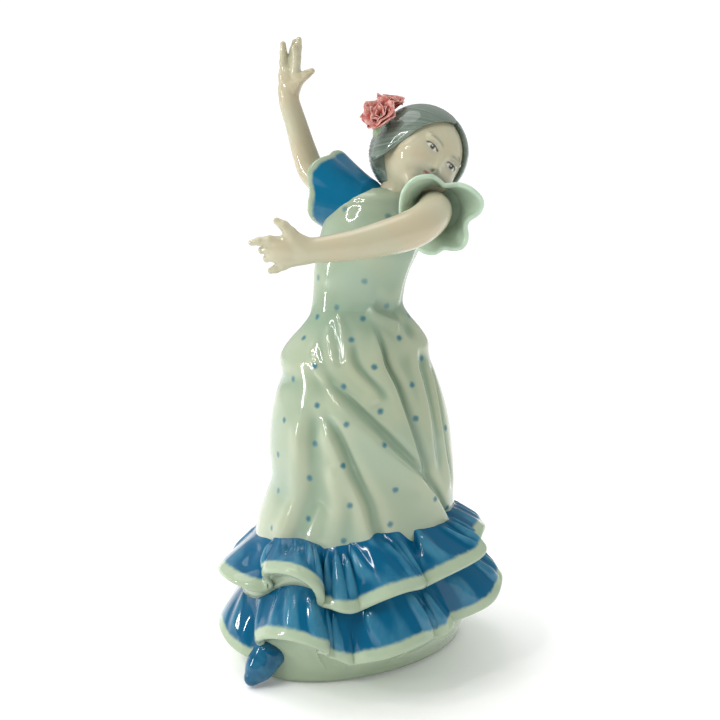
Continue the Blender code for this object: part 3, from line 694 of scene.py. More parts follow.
# Rims, round the figure: direction, distance from the axis and height of the rim, and the direction
# in which that point of the cloth leaves the seam above it
UPPER_RIM = [
    (-180, 50.6, 32.6, -176), (-166, 50.8, 36.0, -168), (-152, 50.0, 37.8, -160),
    (-143, 47.0, 37.2, -153), (-138.5, 43.6, 36.6, -149), (-136.0, 42.0, 38.2, -146.5),
    (-136.4, 43.2, 41.2, -144.5), (-134.5, 45.4, 44.6, -142.0), (-128, 47.4, 47.4, -136),
    (-117, 49.8, 50.0, -125), (-110.5, 49.8, 48.6, -118), (-107, 48.4, 45.4, -113),
    (-106.4, 45.5, 40.6, -110.5), (-107.5, 43.0, 37.4, -109), (-103, 43.4, 37.2, -106),
    (-98, 45.5, 37.2, -102), (-93.5, 44.8, 36.7, -99), (-90, 42.8, 36.8, -96), (-87, 44.2, 38.6, -94),
    (-80, 47.0, 42.4, -91), (-72, 47.4, 44.3, -86), (-65, 46.5, 44.0, -78), (-60, 42.8, 42.4, -66),
    (-56.5, 45.2, 44.7, -56), (-48, 47.2, 46.9, -47), (-35, 48.2, 47.6, -39), (-31, 49.2, 49.8, -34),
    (-26, 45.6, 49.2, -29), (-23, 44.6, 51.4, -23), (-13, 44.4, 51.2, -13), (2, 44.4, 47.6, 1),
    (17, 43.0, 44.5, 16), (32, 46.6, 43.5, 31), (48, 49.2, 41.0, 48), (63, 45.0, 37.5, 63),
    (78, 47.8, 40.0, 78), (95, 48.0, 37.5, 94), (111, 45.0, 34.5, 111), (126, 49.2, 38.0, 127),
    (142, 50.0, 36.0, 142), (157, 46.5, 31.5, 157), (168, 48.8, 30.5, 169),
]
LOWER_RIM = [
    (-180, 51.0, 12.2), (-166, 51.0, 14.3), (-158, 50.0, 12.3), (-149, 48.0, 11.3), (-144.0, 45.6, 10.6),
    (-140.5, 43.6, 11.6), (-140.6, 43.8, 14.4), (-140.0, 45.6, 17.6), (-136, 47.4, 20.4),
    (-128.5, 49.0, 24.4), (-117, 49.8, 26.8), (-108, 49.6, 26.0), (-103.5, 47.6, 23.2),
    (-104.6, 44.4, 20.4), (-100, 44.6, 19.7), (-94.5, 45.0, 18.3), (-92.5, 43.4, 17.4), (-89, 46.0, 19.6),
    (-80, 49.0, 22.4), (-70, 49.2, 24.8), (-61, 47.2, 25.4), (-57.5, 44.2, 24.1), (-54.5, 47.0, 25.2),
    (-50, 47.2, 27.0), (-46, 44.4, 27.0), (-40, 48.0, 28.9), (-30, 51.0, 29.9), (-23, 52.0, 32.6),
    (-18, 51.5, 35.5), (-8, 50.0, 31.0), (4, 48.0, 27.0), (18, 51.0, 26.0), (34, 50.5, 22.0),
    (49, 47.0, 18.0), (64, 49.6, 21.0), (82, 48.6, 17.5), (98, 46.0, 15.0), (114, 50.0, 18.0),
    (132, 50.5, 15.0), (150, 47.5, 10.5), (166, 49.5, 10.0),
]
# The directions in which the lower flounce's points leave their seam
LOWER_LEAVES = [
    -176, -169, -163, -156, -152, -150, -149, -147, -141, -132, -121, -113, -109, -107.5, -103, -98, -95,
    -91, -82, -75, -70, -66.5, -63, -59, -56, -49, -40, -32, -24, -12, 3, 18, 34, 49, 64, 82, 98, 114,
    132, 151, 168,
]
# Where the upper flounce leaves the skirt: direction and height
UPPER_SEAM = [
    (-165, 48.5), (-140, 53.2), (-125, 54.4), (-107, 54.4), (-98, 55.4), (-85, 57.8), (-68, 59.0),
    (-47, 57.8), (-30, 58.0), (-12, 58.5), (10, 56), (40, 52), (90, 49.5), (140, 47.5), (170, 46.8),
]
# Where its underside meets the lower flounce: direction, distance from the axis, height
TUCK = [
    (-180, 43, 28), (-165, 44, 31), (-152, 44.5, 32), (-143, 44, 34), (-134, 41, 38.5), (-126, 42, 42),
    (-117, 43, 44), (-110, 42.5, 42.5), (-104, 41, 36.8), (-98, 41.5, 36.2), (-92, 41, 36),
    (-86, 42, 38.2), (-80, 43.5, 41.2), (-70, 44, 43), (-60, 41, 41.5), (-48, 43.5, 45.4),
    (-35, 44.5, 46.4), (-24, 41.5, 47.5), (-10, 40.5, 46.5), (0, 40.5, 45), (17, 41, 42), (32, 42, 41),
    (48, 42.5, 39), (63, 41, 35.5), (78, 42, 37.5), (95, 42, 35.5), (111, 41, 32.5), (126, 42.5, 35),
    (142, 43.5, 33.5), (157, 42, 29),
]
RIM_ROUND = 1.5          # radius of the rounded rims
RIM_TURN = (12.0, 118.0)     # the part of a circle they are, in degrees from the face
RIM_BAND = 3.8           # width of the green band above the rims
PLEAT = 2.1              # how strongly the small gathers stand out
CORE_DEPTH = 6.0         # how far inside the underside's end the hidden wall is
# Small gathers: direction at the seam and at the rim, width in degrees, height, where along the cloth
UPPER_GATHERS = [
    (-107.5, -108.0, 1.3, 0.9, 0.05, 0.85), (-103.6, -103.6, 1.2, 1.0, 0.05, 0.9),
    (-99.8, -99.4, 1.2, 0.7, 0.1, 0.9), (-121.0, -116.0, 1.2, 0.7, 0.0, 0.7),
    (-117.5, -113.5, 1.0, 0.6, 0.0, 0.8), (-144.0, -145.0, 1.6, 0.9, 0.1, 0.9),
    (-82.0, -79.5, 1.6, 0.8, 0.05, 0.95), (-77.0, -76.2, 1.3, 0.9, 0.0, 0.97),
    (-71.5, -72.0, 1.6, 0.9, 0.1, 0.95), (-62.0, -62.0, 3.0, -1.5, -0.1, 0.55),
    (-54.5, -50.0, 1.6, 0.5, 0.0, 0.8), (-41.0, -37.0, 1.6, 0.8, 0.0, 0.9),
    (-34.5, -33.0, 1.1, 0.8, 0.0, 0.95), (-29.0, -26.0, 1.4, 0.8, 0.0, 0.9),
    (-133.0, -131.0, 2.0, -0.5, 0.0, 0.6), (-160.0, -158.0, 6.0, -0.9, 0.1, 0.9),
    (-95.5, -93.5, 1.4, 0.6, 0.0, 0.7),
]
LOWER_GATHERS = [
    (-131.0, -129.0, 1.9, 0.3, 0.1, 0.9), (-124.0, -120.5, 2.2, 0.35, 0.1, 0.95),
    (-114.0, -111.0, 1.5, 0.6, 0.3, 0.95), (-107.0, -105.5, 1.2, 0.8, 0.1, 0.95),
    (-103.2, -101.5, 1.2, 0.8, 0.1, 0.95), (-88.0, -82.0, 1.8, 0.5, 0.1, 0.8),
    (-71.5, -69.0, 1.5, 0.8, 0.1, 0.95), (-66.5, -65.0, 1.2, 0.9, 0.1, 0.97),
    (-62.0, -62.0, 1.2, 0.8, 0.1, 0.97), (-48.0, -46.0, 2.0, 0.5, 0.2, 0.9),
    (-33.0, -29.5, 1.8, 0.8, 0.1, 0.9), (-25.0, -23.0, 1.4, 0.7, 0.1, 0.9),
    (-160.0, -161.0, 2.4, 0.4, 0.1, 0.9), (-142.0, -143.0, 1.8, 0.3, 0.1, 0.9),
]


def round_about(knots, direction):
    """Interpolates rows over direction, going on past the back of the figure."""
    knots = np.asarray(knots, float)
    turn = np.zeros_like(knots)
    turn[:, 0] = 360.0
    whole = np.concatenate([knots - turn, knots, knots + turn])
    return curve_through(whole[np.argsort(whole[:, 0])], direction)


def hermite(a, slope_a, b, slope_b, t):
    t = np.asarray(t)[:, None, None]
    return ((2 * t ** 3 - 3 * t ** 2 + 1) * a + (t ** 3 - 2 * t ** 2 + t) * slope_a
            + (3 * t ** 2 - 2 * t ** 3) * b + (t ** 3 - t ** 2) * slope_b)


def smooth_loop(rows, times):
    """Smooths a closed row of points."""
    for _ in range(times):
        rows = 0.5 * rows + 0.25 * (np.roll(rows, 1, axis=0) + np.roll(rows, -1, axis=0))
    return rows


def ribbon(leaves, rim, gathers, rng, puff, rings):
    """The middle of a gathered strip, from the points it leaves to its rim, as rings x sides."""
    calm = smooth_loop(rim, fine(2600))
    fold = rim - calm
    along = np.linspace(0.0, 1.0, rings)
    grow = (along ** 1.05)[:, None, None]
    t = along[:, None, None]
    cloth = (1 - t) * leaves + t * calm + grow * fold
    out = unit(calm * (1, 1, 0))
    cloth = cloth + np.sin(np.pi * t) * puff * out
    normals = grid_normals(cloth[::-1])
    direction = np.degrees(np.arctan2(leaves[:, 1], leaves[:, 0]))
    extra = [(d, d + rng.uniform(-2, 2), rng.uniform(1.2, 2.4), rng.uniform(0.4, 0.9), 0.0, 0.9)
             for d in np.arange(-14.0, 178.0, 6.5) + rng.uniform(-2, 2, 30)]
    relief = np.zeros(cloth.shape[:2])
    for top, bottom, width, height, first, last in gathers + extra:
        centre = top + (bottom - top) * along[:, None]
        off = degrees_apart(direction[None, :], centre)
        window = smoothstep(first, first + 0.25, along) * smoothstep(last + 0.1, last - 0.25, along)
        relief += PLEAT * height * window[:, None] * np.exp(-(off / width) ** 2)
    return cloth + relief[..., None] * normals


def build_flounce(name, node, rim_rows, seam, tuck, tuck_slope, gathers, puff, glaze, rng, tail=None):
    """A gathered strip with a rounded rim, whose underside runs back to what lies beneath."""
    rows = np.asarray(rim_rows, float)
    leaving = np.radians(rows[:, 3])
    knots = np.column_stack([upright(*rows.T[:3]), np.cos(leaving), np.sin(leaving)])
    loop = smooth_loop(loop_through(knots, fine(22) * len(rows)), fine(60))
    rim = loop[:, :3]
    direction = np.degrees(np.arctan2(loop[:, 4], loop[:, 3]))
    leaves, under, slope = seam(direction), tuck(direction, rim), tuck_slope(direction)

    rings = fine(44)
    middle = soften(ribbon(leaves, rim, gathers, rng, puff, rings), 3)
    normals = grid_normals(middle[::-1])[::-1]
    thick = RIM_ROUND * smoothstep(-0.05, 1.0, np.linspace(0, 1, rings))[:, None, None]
    face = middle + normals * thick
    down = smooth_loop(unit(middle[-1] - middle[-4]), 12)
    outward = smooth_loop(normals[-1], 12)
    arc = [middle[-1] + RIM_ROUND * (math.cos(a) * outward + math.sin(a) * down)
           for a in np.radians(np.linspace(*RIM_TURN, 11))]

    last = math.radians(RIM_TURN[1])
    leaving = unit(-math.sin(last) * outward + math.cos(last) * down)
    reach = 0.9 * np.linalg.norm(under - arc[-1], axis=-1, keepdims=True)
    back = hermite(arc[-1], leaving * reach, under, slope * reach, np.linspace(0, 1, 16)[1:])
    spoke = unit(smooth_loop(under * (1, 1, 0), 200))
    inner = spoke * (np.linalg.norm(under[:, :2], axis=-1, keepdims=True) - CORE_DEPTH) + under * (0, 0, 1)
    follow = tail(direction, under) if tail else []
    end = follow[-1] - 0.6 * spoke if tail else under + slope * 2.0
    hidden = [end, inner + slope * 2.0, 0.5 * (inner + leaves) - 1.5 * spoke]
    shown = soften(np.concatenate([face, arc, back, *[row[None] for row in follow], hidden])[:-3], 2)
    grid = np.concatenate([shown, hidden])

    shade = grid_normals(grid, True)
    ridge = soften(-ridge_measure(grid, shade, fine(8), fine(13), 1.2), fine(9))
    usual = np.median(ridge[4:rings - 4])
    ridge = (ridge - usual) / np.percentile(abs(ridge[4:rings - 4] - usual), 85)
    run = run_along(grid)
    band = smoothstep(-RIM_BAND - 2.0, 1.4 - RIM_BAND, run - run[rings + 4])
    band[rings + 4:] = 1.0
    add_grid(name, grid, -shade, {"ridge": ridge, "rim": band}, glaze, node, flip=True)


def build_flounces(glaze):
    rng = np.random.default_rng(11)

    def upper_seam(direction):
        return on_body(direction, round_about(UPPER_SEAM, direction)[..., 0], -0.5, folded_radius)

    def upper_tuck(direction, _rim):
        return upright(direction, *round_about(TUCK, direction).T)

    def straight_down(direction):
        return np.tile((0.0, 0.0, -1.0), (len(direction), 1))

    def lower_seam(direction):
        distance, z = round_about(TUCK, direction).T
        return upright(direction, distance - 2.2, z + 1.5)

    def lower_tuck(direction, rim):
        return on_body(direction, np.clip(0.34 * rim[:, 2] - 1.0, 2.6, 9.0), 0.5)

    def along_foot(direction):
        high, low = 8.0 + 0 * direction, 3.0 + 0 * direction
        return unit(on_body(direction, low) - on_body(direction, high))

    def foot_below(direction, under):
        return [on_body(direction, under[:, 2] * (1 - share) + 0.9 * share, 0.5)
                for share in np.linspace(0, 1, 8)[1:]]

    build_flounce("upper_flounce_cloth", "upper_flounce", UPPER_RIM, upper_seam, upper_tuck, straight_down,
                  UPPER_GATHERS, 0.1, glaze, rng)
    lower = [(*row, leaves) for row, leaves in zip(LOWER_RIM, LOWER_LEAVES)]
    build_flounce("lower_flounce_cloth", "lower_flounce", lower, lower_seam, lower_tuck, along_foot,
                  LOWER_GATHERS, 0.5, glaze, rng, foot_below)


# ------------------------------------------------------------------ sleeves

SLEEVE_THICK = 0.85      # half the thickness of the sleeves
SLEEVE_BAND = 3.6        # width of the green band outside their rims


def build_sleeve(name, node, root, throat, rim, out_axis, bell, glaze):
    """A flared cuff: outside from the shoulder to the rim, a rounded rim, and back down the inside."""
    sides = fine(26) * len(rim)
    start, neck = loop_through(root, sides), loop_through(throat, sides)
    edge = smooth_loop(loop_through(rim, sides), 30)
    out_axis = unit(out_axis)
    t = np.linspace(0.0, 1.0, 14)[:-1, None, None]
    swell = np.sin(0.5 * np.pi * t)
    shoulder = (1 - swell) * start + swell * neck - 2.2 * (1 - t) * np.sin(np.pi * t) * out_axis
    t = np.linspace(0.0, 1.0, fine(34))[:, None, None]
    spread = edge - neck
    spread = spread - (spread @ out_axis)[:, None] * out_axis
    middle = np.concatenate([shoulder, (1 - t) * neck + t * edge + (t ** bell - t) * spread])
    normals = grid_normals(middle)
    down = unit(middle[-1] - middle[-3])
    arc = [middle[-1] + SLEEVE_THICK * (math.cos(a) * normals[-1] + math.sin(a) * down)
           for a in np.radians(np.linspace(20, 160, 8))]
    inside = (middle - SLEEVE_THICK * normals)[::-1]
    grid = soften(np.concatenate([middle + SLEEVE_THICK * normals, arc, inside]), 1)
    shade = grid_normals(grid, True)
    ridge = soften(ridge_measure(grid, shade, 2, 5, 0.9), 3)
    run = run_along(grid)
    band = smoothstep(-SLEEVE_BAND, -0.8, run - run[len(middle) + 3])
    add_grid(name, grid, shade, {"ridge": ridge, "rim": band}, glaze, node)


def ring_on(centre, axis, radius, count, waves=()):
    """Points of a ring square to an axis; waves are (how many, how far out, how far along, phase)."""
    axis = unit(axis)
    side = unit(np.cross(axis, (0, 0, 1)))
    rise = np.cross(side, axis)
    points = []
    for k in range(count):
        a = 2 * math.pi * k / count
        r, slip = radius, 0.0
        for many, out, along, phase in waves:
            r += out * math.cos(many * a + phase)
            slip += along * math.sin(many * a + phase)
        points.append(np.asarray(centre) + axis * slip + r * (math.cos(a) * side + math.sin(a) * rise))
    return np.array(points)


# Points of the left sleeve's rim, round its mouth
LEFT_RIM = [
    (13.2, -19.0, 167.4), (14.0, -20.0, 171.0), (16.2, -20.6, 173.9), (19.3, -20.3, 175.6),
    (23.4, -18.6, 175.8), (26.0, -16.6, 174.2), (28.0, -15.6, 172.6), (30.2, -16.4, 172.7),
    (33.2, -17.8, 172.9), (37.0, -17.8, 171.4), (40.2, -17.0, 168.4), (41.0, -16.4, 165.6),
    (39.6, -16.4, 162.8), (36.6, -17.0, 160.9), (35.4, -17.8, 158.6), (35.8, -18.4, 154.6),
    (34.4, -18.0, 151.4), (31.4, -17.0, 150.6), (28.0, -16.4, 150.8), (25.0, -17.2, 149.2),
    (21.2, -17.6, 149.8), (17.4, -17.0, 152.4), (14.6, -16.8, 157.0), (13.2, -17.6, 162.4),
]


def build_sleeves(right_glaze, left_glaze):
    """The right sleeve is a wavy ring round its arm; the left one's rim is LEFT_RIM, drawn in a little."""
    axis = unit((-0.86, 0.48, 0.14))
    waves = ((5, 0.9, 0.9, 0.6), (2, 0.7, 0.8, 1.9), (7, 0.3, 0.3, 2.0))
    rim = ring_on((-10.4, 8.4, 168.4), axis, 13.0, 24, waves)
    throat = ring_on((2.6, 2.6, 163.2), axis, 8.8, 24)
    root = ring_on((8.0, 1.5, 160.0), axis, 4.5, 24)
    build_sleeve("right_sleeve_cuff", "right_sleeve_ruffle", root[::-1], throat[::-1],
                 rim[::-1], axis, 1.2, right_glaze)
    rim = (np.array(LEFT_RIM) - (27.0, 0.0, 161.0)) * (0.94, 1.0, 0.93) + (26.4, 0.0, 161.0)
    spokes = unit((rim - (27.0, 0.0, 163.0)) * (1, 0, 1))
    throat = (26.2, -7.5, 163.4) + 8.0 * spokes
    root = (18.5, 2.0, 161.0) + 3.0 * spokes
    build_sleeve("left_sleeve_cuff", "left_sleeve_ruffle", root[::-1], throat[::-1],
                 rim[::-1], (0, -1, 0), 1.3, left_glaze)


# ------------------------------------------------------------------ arms and hands

# Arms and fingers as (point, radius) joints, each from its root to its tip
RIGHT_ARM = [
    ((-4.0, 4.0, 166.0), 4.8), ((-8.5, 7.0, 168.6), 4.7), ((-13.5, 11.6, 171.6), 4.8),
    ((-17.2, 14.4, 175.4), 4.7), ((-19.7, 15.4, 182.0), 4.3), ((-22.3, 15.4, 191.0), 3.75),
    ((-24.3, 15.0, 197.5), 3.5), ((-25.0, 15.0, 201.4), 3.05),
]
RIGHT_FINGERS = [
    [((-26.0, 15.2, 207.4), 1.7), ((-26.3, 15.6, 211.6), 1.5), ((-26.3, 15.4, 214.9), 1.25),
     ((-26.4, 15.0, 217.8), 0.95)],
    [((-24.2, 15.4, 207.8), 1.75), ((-23.6, 16.4, 212.8), 1.6), ((-22.9, 16.6, 216.0), 1.35),
     ((-22.4, 16.2, 218.6), 1.0)],
    [((-22.6, 14.8, 208.0), 1.75), ((-21.9, 15.0, 213.2), 1.6), ((-21.3, 14.6, 216.6), 1.35),
     ((-20.9, 13.8, 219.1), 1.0)],
    [((-22.2, 13.6, 207.6), 1.7), ((-21.8, 13.0, 212.0), 1.5), ((-22.0, 12.6, 214.8), 1.2),
     ((-22.3, 12.6, 216.5), 0.95)],
    [((-22.6, 14.0, 203.6), 2.0), ((-20.6, 13.2, 206.0), 1.75), ((-18.4, 12.5, 207.6), 1.45),
     ((-16.5, 12.2, 208.7), 1.05)],
]
LEFT_ARM = [
    ((20.5, -1.0, 163.0), 5.0), ((23.8, -7.0, 164.0), 5.6), ((24.2, -13.0, 164.0), 5.7),
    ((23.6, -20.0, 163.4), 5.9), ((21.4, -27.0, 161.8), 6.0), ((17.2, -31.4, 159.6), 6.0),
    ((10.8, -34.2, 157.6), 5.7), ((0.0, -36.8, 155.2), 4.85), ((-9.0, -37.8, 153.9), 4.2),
    ((-15.4, -38.2, 153.3), 3.7),
]
LEFT_FINGERS = [
    [((-23.8, -38.8, 155.8), 1.85), ((-27.6, -38.9, 156.4), 1.6), ((-30.8, -38.5, 156.2), 1.3),
     ((-33.4, -38.0, 155.7), 0.95)],
    [((-24.8, -38.4, 154.0), 1.9), ((-28.2, -37.9, 153.8), 1.65), ((-30.2, -37.2, 153.3), 1.25)],
    [((-24.4, -38.2, 152.2), 1.9), ((-27.0, -37.7, 151.4), 1.65), ((-28.8, -37.0, 150.7), 1.25)],
    [((-20.6, -38.2, 150.4), 1.8), ((-23.6, -38.2, 148.8), 1.55), ((-26.0, -37.8, 147.6), 1.3),
     ((-27.6, -37.6, 147.0), 1.0)],
    [((-18.8, -38.8, 155.8), 2.2), ((-21.2, -39.4, 158.8), 1.9), ((-23.2, -39.2, 161.0), 1.55),
     ((-25.4, -38.6, 162.4), 1.1)],
]


def with_fingers(p, limb, fingers, soft, thumb_soft):
    """Four fingers and then a thumb, grown out of the palm."""
    for finger in fingers[:-1]:
        limb = join(limb, chain(p, finger, 0.5), soft)
    return join(limb, chain(p, fingers[-1], 0.5), thumb_soft)


def right_limb(p):
    palm = join(oval(p, (-24.4, 15.1, 204.6), (3.7, 2.4, 5.2)),
                oval(p, (-24.2, 15.0, 207.6), (3.9, 2.0, 3.2)), 1.5)
    return with_fingers(p, join(smooth_limb(p, RIGHT_ARM), palm, 2.2), RIGHT_FINGERS, 0.7, 1.6)


def left_limb(p):
    palm = join(oval(p, (-20.2, -38.5, 153.3), (5.8, 3.0, 4.8)),
                oval(p, (-24.4, -38.5, 153.2), (3.9, 2.4, 4.2)), 2.0)
    return with_fingers(p, join(smooth_limb(p, LEFT_ARM), palm, 2.5), LEFT_FINGERS, 0.8, 2.0)


# side, field, the box it is in, the wrist and the way from the wrist to the hand
LIMBS = [
    ("right", right_limb, (-33, 0, 158), (2, 24, 225), (-24.6, 15.0, 200.4), (-0.2, 0.0, 0.98)),
    ("left", left_limb, (-37, -45, 142), (35, 2, 173), (-15.0, -38.2, 153.4), (-1.0, 0.0, 0.0)),
]


def build_limbs(glaze):
    """Arms and hands: each pair is one smooth field, parted at the wrist."""
    for side, field, low, high, wrist, ahead in LIMBS:
        ahead = unit(ahead)
        points, quads, normals = mesh_of(field, low, high, 0.36)
        behind = ((points - wrist) @ ahead < 0.0)[quads].all(axis=1)
        for half, keep, dip in (("arm", behind, -1.0), ("hand", ~behind, 1.0)):
            name = f"{side}_{half}"
            kept, faces, outward = part_of(points, quads, normals, keep, dip * ahead)
            add_piece(name + "_skin", kept, faces, glaze, (name,), outward)


SHOE = [((-32.0, -25.6, 10.8), 6.3), ((-34.6, -27.6, 7.0), 4.8), ((-37.6, -29.8, 3.4), 2.7)]


def build_shoe(glaze):
    points, quads, normals = mesh_of(lambda p: chain(p, SHOE, 3.0), (-46, -46, -2), (-22, -20, 24), 0.5)
    points[:, 2] = np.maximum(points[:, 2], 0.05)
    add_piece("shoe_toe_cap", points, quads, glaze, ("shoe_toe",), normals)


# ------------------------------------------------------------------ head and hair

HEAD_CENTRE = np.array((20.2, 0.0, 180.2))
HEAD_AXES = np.array(Matrix.Rotation(math.radians(46), 3, "Y") @ Matrix.Rotation(math.radians(20), 3, "Z"))
FACE_AXES = HEAD_AXES @ np.array(Matrix.Rotation(math.radians(-15), 3, "X"))
NECK_FOOT = (11.0, 2.0, 163.5)
EYE = (4.9, 1.6)            # across and up from the middle of the head, in the face's axes


def head_local(p):
    return (p - HEAD_CENTRE) @ HEAD_AXES


def face_local(p):
    return (p - HEAD_CENTRE) @ FACE_AXES


def mirrored(q):
    return np.stack([abs(q[..., 0]), q[..., 1], q[..., 2]], axis=-1)


def bare_head(p):
    q = face_local(p)
    skull = oval(q, (0, 1.6, 3.2), (13.3, 14.6, 12.6))
    jaw = oval(q, (0, -3.2, -3.6), (10.9, 10.4, 9.4))
    head = join(skull, jaw, 7.0)
    m = mirrored(q)
    head = join(head, oval(m, (5.6, -8.2, -3.4), (4.8, 4.4, 4.0)), 3.5)
    return join(head, oval(q, (0, -10.4, -10.2), (3.2, 2.6, 2.4)), 3.0)


def head_field(p):
    """Head and neck in one casting, with a calm, plain child's face."""
    q = face_local(p)
    m = mirrored(q)
    head = bare_head(p)
    head = join(head, oval(m, (4.6, -12.0, 4.4), (3.4, 1.4, 1.0)), 1.8)
    head = cut(head, oval(m, (EYE[0], -15.1, EYE[1]), (3.0, 2.2, 1.7)), 1.6)
    head = join(head, oval(m, (EYE[0], -11.0, EYE[1]), (2.6, 2.15, 2.0)), 0.35)
    head = join(head, oval(m, (EYE[0], -11.1, EYE[1] + 1.0), (2.85, 2.35, 1.15)), 0.3)
    head = join(head, oval(m, (EYE[0], -11.0, EYE[1] - 1.55), (2.4, 2.0, 0.7)), 0.5)
    nose = rod(q, (0, -12.9, 2.0), (0, -14.9, -2.2), 0.95, 1.2)
    nose = join(nose, oval(m, (1.15, -13.9, -2.7), (0.95, 1.0, 0.75)), 0.8)
    head = join(head, nose, 1.5)
    head = cut(head, oval(q, (0, -14.4, -4.15), (0.45, 0.8, 0.75)), 0.5)
    upper_lip = oval(m, (0.95, -13.05, -5.35), (1.75, 0.95, 0.62))
    lower_lip = oval(q, (0, -12.9, -6.7), (1.9, 1.05, 0.72))
    head = join(head, join(upper_lip, lower_lip, 0.25), 0.7)
    head = cut(head, oval(q, (0, -13.6, -8.3), (1.8, 0.7, 0.7)), 0.9)
    neck = rod(p, HEAD_CENTRE + (-3.2, 1.5, -6.0), NECK_FOOT, 6.6, 7.0)
    return join(head, neck, 3.5)


CHEEK_PINK = (0.60, 0.43, 0.32)
LID_SHADE = (0.44, 0.42, 0.33)
BROW_GREY = (0.20, 0.21, 0.17)
EYE_WHITE = (0.62, 0.61, 0.52)
IRIS_DARK = (0.060, 0.065, 0.050)
PUPIL_BLACK = (0.012, 0.013, 0.012)
# painted highlight: a pale glint in the eyes
PAINTED_EYE_HIGHLIGHT = (0.75, 0.75, 0.70)
LASH_BLACK = (0.045, 0.045, 0.035)
LIP_RED = (0.47, 0.225, 0.175)
MOUTH_LINE = (0.22, 0.11, 0.085)


def paint_face(points):
    """Colour and cover of the painted brows, eyes, cheeks and lips, with a painted highlight in each eye."""
    q = face_local(points)
    m = mirrored(q)
    front = smoothstep(-6.0, -9.5, q[:, 1])
    x, z = m[:, 0] - EYE[0], m[:, 2] - EYE[1]
    colour = np.zeros((len(q), 3))
    cover = np.zeros(len(q))

    def brush(tone, amount):
        nonlocal colour, cover
        amount = np.clip(amount, 0, 1) * front
        total = np.maximum(cover + amount - cover * amount, 1e-6)
        share = (amount / total)[:, None]
        colour = colour * (1 - share) + np.asarray(tone) * share
        cover = np.where(amount > 0, total, cover)

    cheek = np.exp(-((m[:, 0] - 6.6) / 3.0) ** 2 - ((m[:, 2] + 3.4) / 2.4) ** 2)
    brush(CHEEK_PINK, 0.28 * cheek)
    lid = np.hypot(x / 2.9, (z - 0.2) / 1.7)
    brush(LID_SHADE, 0.55 * smoothstep(1.25, 0.75, lid))
    brow = z - 3.1 + 0.055 * (x - 0.4) ** 2
    brush(BROW_GREY, 0.62 * smoothstep(0.75, 0.1, abs(brow)) * smoothstep(3.5, 1.8, abs(x)))
    lens = np.hypot(x / 2.15, z / np.where(z > 0, 0.82, 0.62))
    brush(EYE_WHITE, smoothstep(1.12, 0.9, lens))
    iris = np.hypot(x, z - 0.05) * (1 / 0.88)
    brush(IRIS_DARK, smoothstep(1.15, 0.85, iris) * smoothstep(1.15, 0.92, lens))
    brush(PUPIL_BLACK, smoothstep(0.62, 0.42, iris) * smoothstep(1.15, 0.92, lens))
    # painted highlight: a pale glint, set off the same way in both eyes
    highlight_distance = np.hypot(q[:, 0] - np.sign(q[:, 0]) * EYE[0] + 0.28, z - 0.34)
    brush(PAINTED_EYE_HIGHLIGHT, smoothstep(0.27, 0.15, highlight_distance) * smoothstep(1.1, 0.9, lens))
    lash = np.where(z > -0.1, abs(lens - 1.08) * 0.8, 9.0)
    brush(LASH_BLACK, 0.92 * smoothstep(0.26, 0.10, lash) * smoothstep(2.7, 2.2, abs(x)))
    mouth_z = m[:, 2] + 6.0
    lips = np.hypot(m[:, 0] / 2.35, mouth_z / np.where(mouth_z > 0, 0.95, 1.25))
    brush(LIP_RED, 0.8 * smoothstep(1.1, 0.8, lips))
    parting = abs(mouth_z - 0.1 * m[:, 0] + 0.05)
    brush(MOUTH_LINE, 0.75 * smoothstep(0.22, 0.08, parting) * smoothstep(2.3, 1.7, m[:, 0]))
    return colour, cover


def build_head(glaze):
    points, quads, normals = mesh_of(head_field, (-2, -21, 161), (36, 19, 200), 0.24)
    colour, cover = paint_face(points)
    add_piece("head_and_neck_skin", points, quads, glaze, ("head_and_neck",), normals,
              {"paint": colour, "painted": cover})


HAIR_APEX = 14.6         # top of the face opening, in the face's axes
HAIR_WIDE = 11.4         # half the width of the face opening at the cheeks
HAIR_END = 169.0         # height of the lower edge of the hair
BUN = np.array((0.0, 21.0, -3.0))    # middle of the bun, in the head's axes


def hair_field(p):
    """Parted hair drawn back over the ears to the bun, as a shell on the head."""
    h = head_local(p)
    q = face_local(p)
    m = mirrored(q)
    outer = oval(h, (0, 2.2, 1.7), (15.9, 16.6, 15.6))
    outer = join(outer, oval(h, (0, 8.0, -4.5), (12.6, 10.6, 11.0)), 5.0)
    outer = join(outer, oval(m, (10.6, -1.0, -6.0), (3.9, 5.6, 8.4)), 4.0)
    z = q[..., 2]
    arch = np.clip(1.0 - np.clip(z / HAIR_APEX, 0, 1) ** 1.8, 0, 1) ** 0.72
    side = m[..., 0] - (HAIR_WIDE * arch + 0.10 * np.clip(-z, 0, 9))
    opening = np.maximum(np.maximum(side, z - HAIR_APEX), q[..., 1] - 0.5)
    shell = cut(outer, opening, 1.6)
    closing = smoothstep(-4.0, 6.0, q[..., 1])
    parting = np.hypot(q[..., 0], np.maximum(outer + 0.5, 0.0)) - 0.5 + 1.6 * closing
    shell = cut(shell, parting, 0.8)
    shell = np.maximum(shell, -(bare_head(p) + 0.35))
    return np.maximum(shell, 0.9 * (HAIR_END - p[..., 2]))


def strand_of(points):
    """Which strand a point of the hair is in: an angle round the line from the parting to the bun."""
    q = face_local(points)
    start, end = np.array(((0.0, -12.5, 13.0), (0.0, 21.0, 2.5)))
    side = np.array((1.0, 0.0, 0.0))
    rise = np.cross(unit(end - start), side)
    arm = q - start
    return np.degrees(np.arctan2(arm @ rise, arm @ side)) * 0.5


def around_bun(p):
    """Angle and distance round the bun's own axis."""
    h = head_local(p) - BUN
    return np.arctan2(h[..., 2], h[..., 0]), np.hypot(h[..., 2], h[..., 0])


def bun_field(p):
    h = head_local(p)
    angle, reach = around_bun(p)
    coil = 0.45 * np.sin(2 * angle - reach * 1.15) * smoothstep(0.0, 2.5, reach)
    return join(oval(h, BUN, (8.6, 6.0, 8.2)) + coil, oval(h, BUN - (0, 4, 0), (5.5, 5.0, 5.5)), 1.5)


